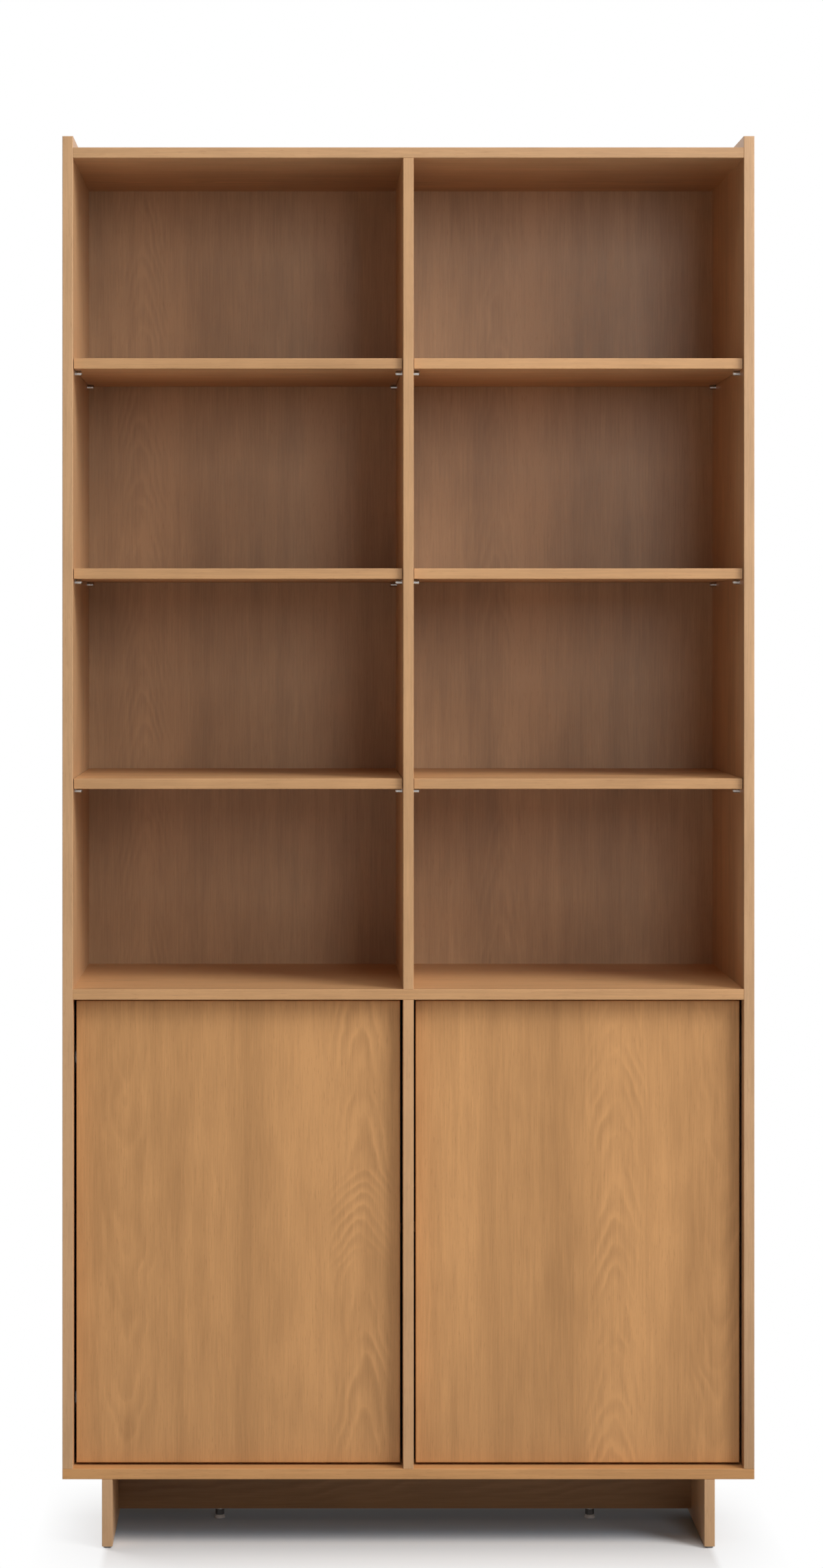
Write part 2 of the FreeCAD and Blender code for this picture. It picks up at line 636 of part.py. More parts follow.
def make_base():
    """Leg panels, the rail between them, its inserts and the glides."""
    leg_height = "base_height - glide_height"
    leg = Board(
        "left_leg_panel",
        ("leg_inset - overall_width/2", FRONT, "glide_height"),
        ("base_board", "overall_depth", leg_height),
    )
    leg.round_front(level=False)
    leg.bore("dowel_holes", "top", leg_dowels()[:2], DOWEL_HOLE, DOWEL_IN_EDGE)
    leg.bore("screw_holes", "top", floor_screws()[:2], SCREW_HOLE, SCREW_IN_EDGE)
    rail_levels = ("rail_clearance + rail_dowel_inset", "base_height - rail_dowel_inset")
    rail_dowels = [(RAIL_MIDDLE, level) for level in rail_levels]
    leg.bore("rail_dowel_holes", "right", rail_dowels, DOWEL_HOLE, DOWEL_IN_FACE)
    glides = [(LEG_MIDDLE, f"({FRONT} + glide_inset)"), (LEG_MIDDLE, "overall_depth/2 - glide_inset")]
    nail_hole = "nail_diameter + fit_clearance"
    leg.bore("nail_holes", "bottom", glides, nail_hole, "nail_length + hole_spare")
    mirrored("right_leg_panel", leg.body)

    rail_end = "(leg_inset + base_board - overall_width/2)"
    rail = Board(
        "base_rail",
        (rail_end, f"{FRONT} + rail_setback", "rail_clearance"),
        (f"-2*{rail_end}", "base_board", "base_height - rail_clearance"),
    )
    for face in ("left", "right"):
        rail.bore(f"{face}_dowel_holes", face, rail_dowels, DOWEL_HOLE, DOWEL_IN_EDGE)
    rail.bore("screw_holes", "top", floor_screws()[4:], SCREW_HOLE, SCREW_IN_EDGE)
    feet = [("-foot_offset", RAIL_MIDDLE), ("foot_offset", RAIL_MIDDLE)]
    insert_depth = "insert_length + stem_engagement + hole_spare"
    rail.bore("insert_holes", "bottom", feet, "insert_diameter + fit_clearance", insert_depth)

    inner = value("(stem_diameter + running_clearance)/2")
    outer = value("insert_diameter/2")
    flange = value("insert_flange_diameter/2")
    lip = value("-insert_flange_height")
    length = value("insert_length")
    insert = turned(
        [(inner, lip), (flange, lip), (flange, 0), (outer, 0), (outer, length), (inner, length)]
    )
    group("foot_inserts", insert, [((x, y, "rail_clearance"), UP) for x, y in feet])

    pad = value("glide_diameter/2")
    nail = value("nail_diameter/2")
    height = value("glide_height")
    tip = value("glide_height + nail_length")
    glide = turned([(0, 0), (pad, 0), (pad, height), (nail, height), (nail, tip - nail), (0, tip)])
    spots = [((sign + x, y, "0"), UP) for x, y in glides for sign in ("", "-")]
    group("leg_glides", glide, spots)


def make_levelling_feet():
    """Round pad with a cone, a six-sided nut and a stem that screws into the rail's insert."""
    foot = new_body("left_levelling_foot", ("-foot_offset", RAIL_MIDDLE, "0"))
    cone_top = "foot_rim + foot_cone"
    profile = new_sketch(foot, "foot_profile", "XZ_Plane")
    corners = [
        ("0", "0"),
        ("foot_diameter/2", "0"),
        ("foot_diameter/2", "foot_rim"),
        ("foot_neck_diameter/2", cone_top),
        ("stem_diameter/2", cone_top),
        ("stem_diameter/2", "rail_clearance + stem_engagement"),
        ("0", "rail_clearance + stem_engagement"),
    ]
    draw_polygon(profile, corners)
    turn = foot.newObject("PartDesign::Revolution", "foot_turning")
    turn.Profile = profile
    turn.ReferenceAxis = (profile, ["V_Axis"])
    turn.Angle = 360
    nut = new_sketch(foot, "foot_nut", "XY_Plane", cone_top)
    half = "foot_nut_width/2"
    flat = "foot_nut_width*sqrt(3)/4"
    quarter = "foot_nut_width/4"
    hexagon = [
        (half, "0"),
        (quarter, flat),
        (opposite(quarter), flat),
        (opposite(half), "0"),
        (opposite(quarter), opposite(flat)),
        (quarter, opposite(flat)),
    ]
    draw_polygon(nut, hexagon)
    extrude(foot, "Pad", nut, "foot_nut_height")
    mirrored("right_levelling_foot", foot)


def make_shelf(label, setback, underside):
    shelf = Board(
        f"left_{label}",
        (f"{WALL} + shelf_end_gap", f"{FRONT} + {setback}", underside),
        (f"{BAY_WIDTH} - 2*shelf_end_gap", f"{SHELF_REAR} - {FRONT} - {setback}", "shelf_board"),
    )
    shelf.round_front(upright=False)
    mirrored(f"right_{label}", shelf.body)


def make_shelves():
    """Loose shelves on pins: three over each other in each open bay, one in each cabinet bay."""
    for name, underside in zip(("low", "middle", "high"), SHELF_UNDERSIDES):
        make_shelf(f"{name}_shelf", "shelf_setback", underside)
    make_shelf("cabinet_shelf", "cabinet_shelf_setback", CABINET_SHELF_UNDERSIDE)
    peg = value("peg_diameter/2")
    rest = value("rest_diameter/2")
    reach = value("rest_reach")
    nose = rest / 3
    pin = turned(
        [
            (0, value("-peg_length")),
            (peg, value("-peg_length")),
            (peg, 0),
            (rest, 0),
            (rest, reach - nose),
            (rest - nose, reach),
            (0, reach),
        ]
    )
    divider = "-carcass_board/2"
    for bay, places in (("open", open_pins()), ("cabinet", cabinet_pins())):
        spots = []
        for y, z in places:
            spots.append(((WALL, y, z), RIGHTWARD))
            spots.append(((divider, y, z), LEFTWARD))
            spots.append((("carcass_board/2", y, z), RIGHTWARD))
            spots.append(((opposite(WALL), y, z), LEFTWARD))
        group(f"{bay}_shelf_pins", pin, spots)


def make_fixings():
    """Dowels, cam discs with their bolts, and the screws that join the boards."""
    radius = value("dowel_diameter/2")
    length = value("dowel_length")
    end = radius / 4
    dowel = turned(
        [
            (0, 0),
            (radius - end, 0),
            (radius, end),
            (radius, length - end),
            (radius - end, length),
            (0, length),
        ]
    )
    sunk = "dowel_in_face"
    spots = [((x, y, f"{CABINET_FLOOR} - {sunk}"), UP) for x, y in foot_dowels()]
    spots += [((x, y, f"deck_level - {sunk}"), UP) for x, y in MIDDLE_DOWELS]
    spots += [((x, y, f"{TOP_UNDERSIDE} + {sunk}"), DOWN) for x, y in MIDDLE_DOWELS]
    spots += [((x, y, f"{DECK_UNDERSIDE} + {sunk}"), DOWN) for x, y in MIDDLE_INNER_DOWELS]
    spots += [((x, y, f"base_height + {sunk}"), DOWN) for x, y in leg_dowels()]
    side_start = f"({WALL} - {sunk})"
    leg_start = f"(leg_inset + base_board - overall_width/2 - {sunk})"
    rail_levels = ("rail_clearance + rail_dowel_inset", "base_height - rail_dowel_inset")
    level_rows = [(side_start, y, z) for y in DOWELS for z in BOARD_AXES]
    level_rows += [(leg_start, RAIL_MIDDLE, z) for z in rail_levels]
    for x, y, z in level_rows:
        spots.append(((x, y, z), RIGHTWARD))
        spots.append(((opposite(x), y, z), LEFTWARD))
    group("dowels", dowel, spots)

    thread = value("cam_bolt_diameter/2")
    head = value("cam_bolt_head/2")
    depth = value("-cam_bolt_depth")
    reach = value("cam_distance")
    bolt = turned(
        [
            (0, depth),
            (thread, depth),
            (thread, 0),
            (head, 0),
            (head, reach / 2),
            (thread, reach / 2),
            (thread, reach - head),
            (head, reach - head),
            (head, reach),
            (0, reach),
        ]
    )
    bolt_spots = []
    disc_spots = []
    for z, face, turn in zip(BOARD_AXES, (TOP_FACE, DECK_UNDERSIDE), (DOWN, UP)):
        for y in FIXINGS:
            for x, direction in ((WALL, RIGHTWARD), (opposite(WALL), LEFTWARD)):
                bolt_spots.append(((x, y, z), direction))
                disc_x = f"({x} + {direction[0]}*cam_distance)"
                disc_spots.append(((disc_x, y, face), turn))
    group("cam_bolts", bolt, bolt_spots)
    group("cam_discs", cam_disc(), disc_spots)

    screw = let_in_screw()
    screw_spots = [((x, y, "base_height"), UP) for x, y in foot_screws()]
    screw_spots += [((x, y, CABINET_FLOOR), DOWN) for x, y in floor_screws()]
    screw_spots += [((x, y, DECK_UNDERSIDE), UP) for x, y in MIDDLE_SCREWS]
    screw_spots += [((x, y, TOP_FACE), DOWN) for x, y in MIDDLE_SCREWS]
    group("board_screws", screw, screw_spots)


def cam_disc():
    """Disc with a slot across its lower half, open to both sides for the bolt's head."""
    disc = Part.makeCylinder(value("cam_diameter/2"), value("cam_depth"))
    width = value("cam_bolt_bore")
    reach = value("cam_diameter")
    low = value("carcass_board/2") - width / 2
    slot = Part.makeBox(reach, width, value("cam_depth"), FreeCAD.Vector(-reach / 2, -width / 2, low))
    return disc.cut(slot)


def let_in_screw():
    """Flat-headed screw: head from 0 downwards along the drive, then the shank and its point."""
    head = value("screw_head_diameter/2")
    shank = value("screw_diameter/2")
    sunk = value("screw_head_height")
    length = value("screw_length")
    point = length - value("screw_diameter")
    return turned([(0, 0), (head, 0), (head, sunk), (shank, sunk), (shank, point), (0, length)])


def small_screw():
    """Pan-headed screw: head outside the surface at 0, shank and point along the drive."""
    head = value("small_screw_head/2")
    shank = value("small_screw_diameter/2")
    proud = value("-small_head_height")
    length = value("small_screw_length")
    point = length - value("small_screw_diameter")
    return turned(
        [
            (0, proud),
            (head / 2, proud),
            (head, proud / 2),
            (head, 0),
            (shank, 0),
            (shank, point),
            (0, length),
        ]
    )


def cup_screws():
    """Screws through the wings of the left door's hinge cups, as (x, z)."""
    return [
        (f"({CUP_X} + wing_offset)", f"({level} {sign} cup_screw_spacing/2)")
        for level in HINGE_LEVELS.values()
        for sign in "-+"
    ]


def strike_screws():
    """Screws of the left door's strike plate, as (x, z)."""
    return [(f"({LATCH_X} {sign} strike_screw_spacing/2)", LATCH_Z) for sign in "-+"]


def make_doors():
    door = Board(
        "left_door",
        (DOOR_EDGE, f"{FRONT} + door_recess", DOOR_BOTTOM),
        (f"{BAY_WIDTH} - 2*door_gap", "door_board", f"{DOOR_TOP} - {DOOR_BOTTOM}"),
    )
    thickness = value("door_board")
    round_edges(
        door.body, "edge_round", lambda box: box.YMax < NEAR or box.YMin > thickness - NEAR
    )
    cups = [(CUP_X, level) for level in HINGE_LEVELS.values()]
    door.bore("cup_holes", "rear", cups, "cup_diameter + fit_clearance", "cup_depth + fit_clearance")
    cup_depth = "small_screw_length - flange_thickness + hole_spare"
    door.bore("cup_screw_holes", "rear", cup_screws(), SMALL_SCREW_HOLE, cup_depth)
    strike_depth = "small_screw_length - strike_thickness + hole_spare"
    door.bore("strike_screw_holes", "rear", strike_screws(), SMALL_SCREW_HOLE, strike_depth)
    mirrored("right_door", door.body)


def make_hinge_cup(name, level):
    """Cup let into the door, with a rim, two wings and holes for the pin and the screws."""
    label = f"left_{name}_hinge_cup"
    cup = new_body(label, (CUP_X, DOOR_BACK, level))
    shell = new_sketch(cup, f"{label}_shell", "XZ_Plane")
    draw_circle(shell, "0", "0", "cup_diameter")
    extrude(cup, "Pad", shell, "cup_depth")
    rim = new_sketch(cup, f"{label}_rim", "XZ_Plane")
    draw_circle(rim, "0", "0", "cup_diameter + 2*cup_rim")
    extrude(cup, "Pad", rim, "flange_thickness", True)
    wings = new_sketch(cup, f"{label}_wings", "XZ_Plane")
    inner = "wing_offset - wing_width/2"
    outer = "wing_offset + wing_width/2"
    draw_polygon(wings, rectangle(inner, "-wing_length/2", outer, "wing_length/2"))
    extrude(cup, "Pad", wings, "flange_thickness", True)
    hollow = new_sketch(cup, f"{label}_hollow", "XZ_Plane", "-flange_thickness")
    draw_circle(hollow, "0", "0", "cup_diameter - 2*cup_wall")
    extrude(cup, "Pocket", hollow, "flange_thickness + cup_depth - cup_floor", True)
    pin_hole = new_sketch(cup, f"{label}_pin_hole", "XY_Plane", "-cup_diameter")
    draw_circle(pin_hole, local(PIVOT_X, CUP_X), "-pivot_depth", "pivot_diameter + fit_clearance")
    extrude(cup, "Pocket", pin_hole, "2*cup_diameter", True)
    screws = new_sketch(cup, f"{label}_screw_holes", "XZ_Plane", "-flange_thickness")
    for end in ("-cup_screw_spacing/2", "cup_screw_spacing/2"):
        draw_circle(screws, "wing_offset", end, SMALL_SCREW_HOLE)
    extrude(cup, "Pocket", screws, "flange_thickness", True)
    mirrored(f"right_{name}_hinge_cup", cup)


def make_hinge_arm(name, level):
    """Cranked strip: a bar on the mounting plate, a crank round the door's edge, a neck into
    the cup and a knuckle round the pin."""
    label = f"left_{name}_hinge_arm"
    arm = new_body(label, (WALL, PIVOT_Y, f"{level} - arm_width/2"))
    pin_x = local(PIVOT_X, WALL)
    neck = f"({pin_x} + neck_reach)"
    neck_outer = f"({neck} + arm_thickness)"
    half_strip = "(arm_thickness/2*sqrt(1 + neck_slope^2))"
    bar_outer = "plate_thickness + arm_thickness"
    crank_outer = "crank_rise + arm_thickness"
    corners = [
        ("plate_thickness", "crank_rise"),
        (neck, "crank_rise"),
        (neck, f"neck_reach*neck_slope + {half_strip}"),
        (pin_x, half_strip),
        (pin_x, opposite(half_strip)),
        (neck_outer, f"(neck_reach + arm_thickness)*neck_slope - {half_strip}"),
        (neck_outer, crank_outer),
        (bar_outer, crank_outer),
        (bar_outer, "arm_length"),
        ("plate_thickness", "arm_length"),
    ]
    strip = new_sketch(arm, f"{label}_strip", "XY_Plane")
    draw_polygon(strip, corners)
    extrude(arm, "Pad", strip, "arm_width")
    bends = [(value(x), value(y)) for x, y in (corners[1], corners[6], corners[7], corners[0])]

    def at_bend(box):
        return box.ZLength > value("arm_width") / 2 and any(
            abs(box.XMin - x) < NEAR and abs(box.YMin - y) < NEAR for x, y in bends
        )

    round_edges(arm, "arm_bend", at_bend)
    knuckle = new_sketch(arm, f"{label}_knuckle", "XY_Plane")
    draw_circle(knuckle, pin_x, "0", "knuckle_diameter")
    extrude(arm, "Pad", knuckle, "arm_width")
    eye = new_sketch(arm, f"{label}_eye", "XY_Plane", "arm_width")
    draw_circle(eye, pin_x, "0", "pivot_diameter + running_clearance")
    extrude(arm, "Pocket", eye, "arm_width")
    mirrored(f"right_{name}_hinge_arm", arm)


def make_hinge_plate(name, level):
    """Cross-shaped plate on the side panel, with a screw in each wing."""
    label = f"left_{name}_hinge_plate"
    plate = new_body(label, (WALL, PIVOT_Y, level))
    rear = "plate_start + plate_length"
    wing_front = "plate_start + (plate_length - plate_width)/2"
    wing_rear = "plate_start + (plate_length + plate_width)/2"
    half_bar = "plate_width/2"
    half_span = "plate_wing_span/2"
    above = [
        ("plate_start", half_bar),
        (wing_front, half_bar),
        (wing_front, half_span),
        (wing_rear, half_span),
        (wing_rear, half_bar),
        (rear, half_bar),
    ]
    below = [(y, opposite(z)) for y, z in reversed(above)]
    cross = new_sketch(plate, f"{label}_cross", "YZ_Plane")
    draw_polygon(cross, above + below)
    extrude(plate, "Pad", cross, "plate_thickness")
    screws = new_sketch(plate, f"{label}_screw_holes", "YZ_Plane", "plate_thickness")
    for end in ("-plate_screw_spacing/2", "plate_screw_spacing/2"):
        draw_circle(screws, "plate_start + plate_length/2", end, SMALL_SCREW_HOLE)
    extrude(plate, "Pocket", screws, "plate_thickness")
    mirrored(f"right_{name}_hinge_plate", plate)


def make_hinges():
    """Two concealed hinges per door, each turning on one pin inside its cup."""
    for name, level in HINGE_LEVELS.items():
        make_hinge_cup(name, level)
        make_hinge_arm(name, level)
        make_hinge_plate(name, level)
    radius = value("pivot_diameter/2")
    off_middle = value(f"{CUP_X} - {PIVOT_X}") + radius
    half_length = (value("cup_diameter/2") ** 2 - off_middle**2) ** 0.5 - value("fit_clearance")
    pin = Part.makeCylinder(radius, 2 * half_length, FreeCAD.Vector(0, 0, -half_length))
    spots = [((PIVOT_X, PIVOT_Y, level), UP) for level in HINGE_LEVELS.values()]
    mirrored("right_hinge_pins", group("left_hinge_pins", pin, spots))
    plates = [((f"{WALL} + plate_thickness", y, z), LEFTWARD) for y, z in plate_screws()]
    mirrored("right_hinge_screws", group("left_hinge_screws", small_screw(), plates))
    cups = [((x, f"{DOOR_BACK} + flange_thickness", z), FORWARD) for x, z in cup_screws()]
    strikes = [((x, f"{DOOR_BACK} + strike_thickness", z), FORWARD) for x, z in strike_screws()]
    mirrored("right_door_screws", group("left_door_screws", small_screw(), cups + strikes))


def make_latches():
    """Push latch under the deck: housing with two screw ears, plunger, strike plate on the door."""
    housing = new_body("left_latch_housing", (LATCH_X, LATCH_FRONT, DECK_UNDERSIDE))
    block = new_sketch(housing, "latch_block", "XY_Plane")
    draw_polygon(block, rectangle("-latch_width/2", "0", "latch_width/2", "latch_length"))
    extrude(housing, "Pad", block, "latch_height", True)
    depth = value("-latch_height")
    round_edges(
        housing, "latch_round", lambda box: box.ZMax < depth + NEAR and box.YLength > box.XLength
    )
    ears = new_sketch(housing, "latch_ears", "XY_Plane")
    span = "(latch_width/2 + ear_reach)"
    front = "(latch_length - ear_length)/2"
    rear = "(latch_length + ear_length)/2"
    draw_polygon(ears, rectangle(opposite(span), front, span, rear))
    extrude(housing, "Pad", ears, "ear_thickness", True)
    holes = new_sketch(housing, "latch_screw_holes", "XY_Plane")
    for side in ("-(latch_width + ear_reach)/2", "(latch_width + ear_reach)/2"):
        draw_circle(holes, side, "latch_length/2", SMALL_SCREW_HOLE)
    extrude(housing, "Pocket", holes, "ear_thickness")
    bore = new_sketch(housing, "latch_bore", "XZ_Plane")
    draw_circle(bore, "0", "-latch_drop", "plunger_diameter + running_clearance")
    bore_depth = "plunger_length - plunger_reach + plunger_travel + hole_spare"
    extrude(housing, "Pocket", bore, bore_depth)
    mirrored("right_latch_housing", housing)

    plunger = new_body("left_latch_plunger", (LATCH_X, PLUNGER_TIP, LATCH_Z))
    rod = new_sketch(plunger, "plunger_rod", "XZ_Plane")
    draw_circle(rod, "0", "0", "plunger_diameter")
    extrude(plunger, "Pad", rod, "plunger_length", True)
    round_edges(plunger, "plunger_round", lambda box: box.YMax < NEAR)
    mirrored("right_latch_plunger", plunger)

    strike = Board(
        "left_strike_plate",
        (f"{LATCH_X} - strike_width/2", DOOR_BACK, f"{LATCH_Z} - strike_height/2"),
        ("strike_width", "strike_thickness", "strike_height"),
    )
    strike.bore("screw_holes", "rear", strike_screws(), SMALL_SCREW_HOLE, "strike_thickness")
    mirrored("right_strike_plate", strike.body)
    spots = [((x, y, f"{DECK_UNDERSIDE} - ear_thickness"), UP) for x, y in latch_screws()]
    group("latch_screws", small_screw(), spots)


def check_model():
    """Stops if an object failed, a shape is not sound or a pocket cut nothing."""
    for item in DOC.Objects:
        if {"Invalid", "Error"} & set(item.State):
            raise RuntimeError(f"{item.Label} failed: {item.State}")
        if item.TypeId == "PartDesign::Pocket":
            before = item.BaseFeature.Shape.Volume
            if before - item.Shape.Volume < LEAST_CUT:
                raise RuntimeError(f"{item.Label} cuts nothing")
    for label, item in PARTS.items():
        if item.Shape.isNull() or not item.Shape.isValid():
            raise RuntimeError(f"{label} has no sound shape")


def write_parts():
    os.makedirs("parts", exist_ok=True)
    for label, item in PARTS.items():
        item.Shape.exportStep(os.path.join("parts", f"{label}.step"))


make_side_panels()
make_top_panel()
make_middle_deck()
make_bottom_panel()
make_dividers()
make_back_panels()
make_base()
make_levelling_feet()
make_shelves()
make_doors()
make_hinges()
make_latches()
make_fixings()
DOC.recompute()
check_model()
write_parts()
print(f"{len(PARTS)} sub-parts written")
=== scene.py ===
import math

import bpy
import numpy as np
from bpy.props import FloatProperty, FloatVectorProperty, PointerProperty
from mathutils import Euler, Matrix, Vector


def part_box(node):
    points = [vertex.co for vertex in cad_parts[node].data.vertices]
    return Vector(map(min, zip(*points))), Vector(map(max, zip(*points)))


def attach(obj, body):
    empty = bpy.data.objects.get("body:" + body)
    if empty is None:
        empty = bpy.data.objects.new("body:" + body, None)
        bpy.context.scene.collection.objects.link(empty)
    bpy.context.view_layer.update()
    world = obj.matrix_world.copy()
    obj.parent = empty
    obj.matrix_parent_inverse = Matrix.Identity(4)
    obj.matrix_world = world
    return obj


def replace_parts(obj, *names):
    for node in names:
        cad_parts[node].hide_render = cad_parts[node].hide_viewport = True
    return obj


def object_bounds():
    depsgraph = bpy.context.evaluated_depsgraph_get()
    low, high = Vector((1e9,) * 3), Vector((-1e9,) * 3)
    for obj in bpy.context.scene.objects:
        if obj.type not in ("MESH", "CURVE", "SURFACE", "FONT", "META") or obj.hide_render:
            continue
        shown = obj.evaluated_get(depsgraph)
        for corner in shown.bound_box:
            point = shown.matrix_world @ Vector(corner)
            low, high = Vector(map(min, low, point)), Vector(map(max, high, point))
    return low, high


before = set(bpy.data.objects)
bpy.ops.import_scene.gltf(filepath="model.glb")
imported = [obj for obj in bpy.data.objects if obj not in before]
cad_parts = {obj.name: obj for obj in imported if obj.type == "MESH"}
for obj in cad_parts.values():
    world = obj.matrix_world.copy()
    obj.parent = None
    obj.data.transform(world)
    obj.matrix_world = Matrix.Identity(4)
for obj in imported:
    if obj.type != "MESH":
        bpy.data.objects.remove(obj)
CAD_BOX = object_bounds()

bl_info = {
    "name": "Oak Bookcase",
    "version": (1, 0, 0),
    "blender": (4, 5, 0),
    "location": "View3D > Sidebar > Bookcase",
    "description": "Dresses a bookcase with cabinet doors: oak veneer, hardware, light and camera",
    "category": "Object",
}

SIDES = {"left": -1, "right": 1}
SHELVES = ("low", "middle", "high")
LAMPS = ("key", "front", "side", "high", "rear")
FLOOR_REACH = 12.0
HINGES = ("lower", "upper")
MILLIMETRE = 0.001


# Settings that a user would change


def paint(name, description, value):
    return FloatVectorProperty(
        name=name, description=description, subtype="COLOR", default=value, min=0, max=1
    )


class OakFinish(bpy.types.PropertyGroup):
    """Colours and lacquer of the oak veneer."""

    pale_light: paint("Light carcass wood", "Between the growth rings", (0.620, 0.370, 0.192))
    pale_dark: paint("Dark carcass wood", "In the growth rings", (0.400, 0.231, 0.116))
    golden_light: paint("Light door wood", "Between the growth rings", (0.672, 0.352, 0.144))
    golden_dark: paint("Dark door wood", "In the growth rings", (0.456, 0.234, 0.094))
    pore: paint("Pores", "Fine dark strokes along the grain", (0.360, 0.172, 0.066))
    roughness: FloatProperty(
        name="Lacquer roughness",
        description="Roughness of the matt lacquer",
        subtype="FACTOR",
        default=0.42,
    )


class HardwareFinish(bpy.types.PropertyGroup):
    """Colours of the metal and plastic pieces."""

    steel: paint("Plated steel", "Nickel-plated screws, pins and hinges", (0.62, 0.61, 0.585))
    zinc: paint("Cast zinc", "Cam discs and their bolts", (0.46, 0.46, 0.47))
    dark_plastic: paint("Dark plastic", "Nuts of the feet and push latches", (0.018, 0.017, 0.016))
    grey_plastic: paint("Grey plastic", "Glides and pads of the feet", (0.34, 0.34, 0.34))
    beech: paint("Beech", "Dowels", (0.60, 0.42, 0.25))


def length(name, description, value):
    return FloatProperty(name=name, description=description, unit="LENGTH", default=value)


class DetailSizes(bpy.types.PropertyGroup):
    """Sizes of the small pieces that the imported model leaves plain."""

    fixing_inset: length("Fixing inset", "Front or rear edge of a board to its first screw", 0.050)
    rail_screw: length("Rail screw", "Middle of the rail to a screw in its top edge", 0.150)
    back_screw: length("Back screw", "Edge of a back panel to the nearest screw of a row", 0.060)
    cam_distance: length("Cam distance", "End of a board to the middle of its cam disc", 0.024)
    plate_hole: length("Plate hole", "Middle of a hinge plate to its screws", 0.018)
    cup_hole: length("Cup hole", "Middle of a hinge cup to its screws, up and down", 0.024)
    cup_ear: length("Cup ear", "Middle of a hinge cup with its ears to the screws, sideways", 0.0095)
    strike_hole: length("Strike hole", "Middle of a strike plate to its screws", 0.008)
    latch_hole: length("Latch hole", "Middle of a latch housing to its screws", 0.013)
    latch_ear: length("Latch ear", "Thickness of the ears of a latch housing", 0.003)
    foot_rim: length("Foot rim", "Height of the rim of a foot's pad", 0.0025)
    foot_cone: length("Foot cone", "Height of the cone above the rim", 0.0025)
    foot_neck: length("Foot neck", "Radius of the cone's top", 0.0055)
    nut_top: length("Nut top", "Floor to the top of a foot's nut", 0.013)
    nut_radius: length("Nut radius", "Middle of the nut to its corners", 0.0065)
    stem_radius: length("Stem radius", "Outer radius of a foot's thread", 0.003)
    thread_pitch: length("Thread pitch", "Rise of a foot's thread in one turn", 0.00125)
    thread_depth: length("Thread depth", "Crest to root of a foot's thread", 0.00045)


def lamp_place(name, place):
    return FloatVectorProperty(
        name=name,
        description="Middle of the soft box",
        subtype="TRANSLATION",
        unit="LENGTH",
        default=place,
    )


def lamp_size(name, size):
    return FloatVectorProperty(
        name=f"{name} size",
        description="Width and height of the soft box",
        unit="LENGTH",
        size=2,
        default=size,
    )


def lamp_power(name, power):
    return FloatProperty(name=f"{name} power", description="Watts", default=power)


class StageSettings(bpy.types.PropertyGroup):
    """Camera, lamps and floor. The low side lamp and the high lamp soften the key light's shadows."""

    camera_place: FloatVectorProperty(
        name="Camera place",
        description="Where the camera stands",
        subtype="TRANSLATION",
        unit="LENGTH",
        default=(-0.151, -5.08, 1.301),
    )
    lens: FloatProperty(name="Lens", description="Focal length in millimetres", default=79.3)
    shift: FloatVectorProperty(
        name="Lens shift",
        description="Sideways and upward shift of the picture",
        size=2,
        default=(0.070, -0.0984),
    )
    key_place: lamp_place("Key light", (3.38, -2.80, 4.15))
    key_size: lamp_size("Key light", (2.4, 2.4))
    key_power: lamp_power("Key light", 160.0)
    front_place: lamp_place("Front light", (1.30, -5.0, 2.5))
    front_size: lamp_size("Front light", (1.3, 1.6))
    front_power: lamp_power("Front light", 36.0)
    side_place: lamp_place("Side light", (3.3, -2.7, 2.5))
    side_size: lamp_size("Side light", (1.6, 1.6))
    side_power: lamp_power("Side light", 34.0)
    high_place: lamp_place("High light", (0.4, -2.2, 4.8))
    high_size: lamp_size("High light", (3.0, 1.6))
    high_power: lamp_power("High light", 49.0)
    rear_place: lamp_place("Rear light", (-3.4, 2.8, 2.8))
    rear_size: lamp_size("Rear light", (2.6, 2.6))
    rear_power: lamp_power("Rear light", 120.0)
    fill: FloatProperty(
        name="Fill", description="Level of the even light from all round", default=0.03
    )
    floor_tone: FloatProperty(
        name="Floor tone", description="Brightness of the floor near the bookcase", default=0.80
    )
    shadow_beside: length("Shadow beside", "Reach of the shown shadow past a leg panel", 0.10)
    shadow_ahead: length("Shadow ahead", "Reach of the shown shadow in front", 0.20)
    shadow_behind: length("Shadow behind", "Reach of the shown shadow past the back", 0.15)
    strip_start: length("Strip start", "Front to where the floor throws back most light", 0.45)
    strip_end: length("Strip end", "Front to where the floor throws back less again", 1.6)


# Shader maths


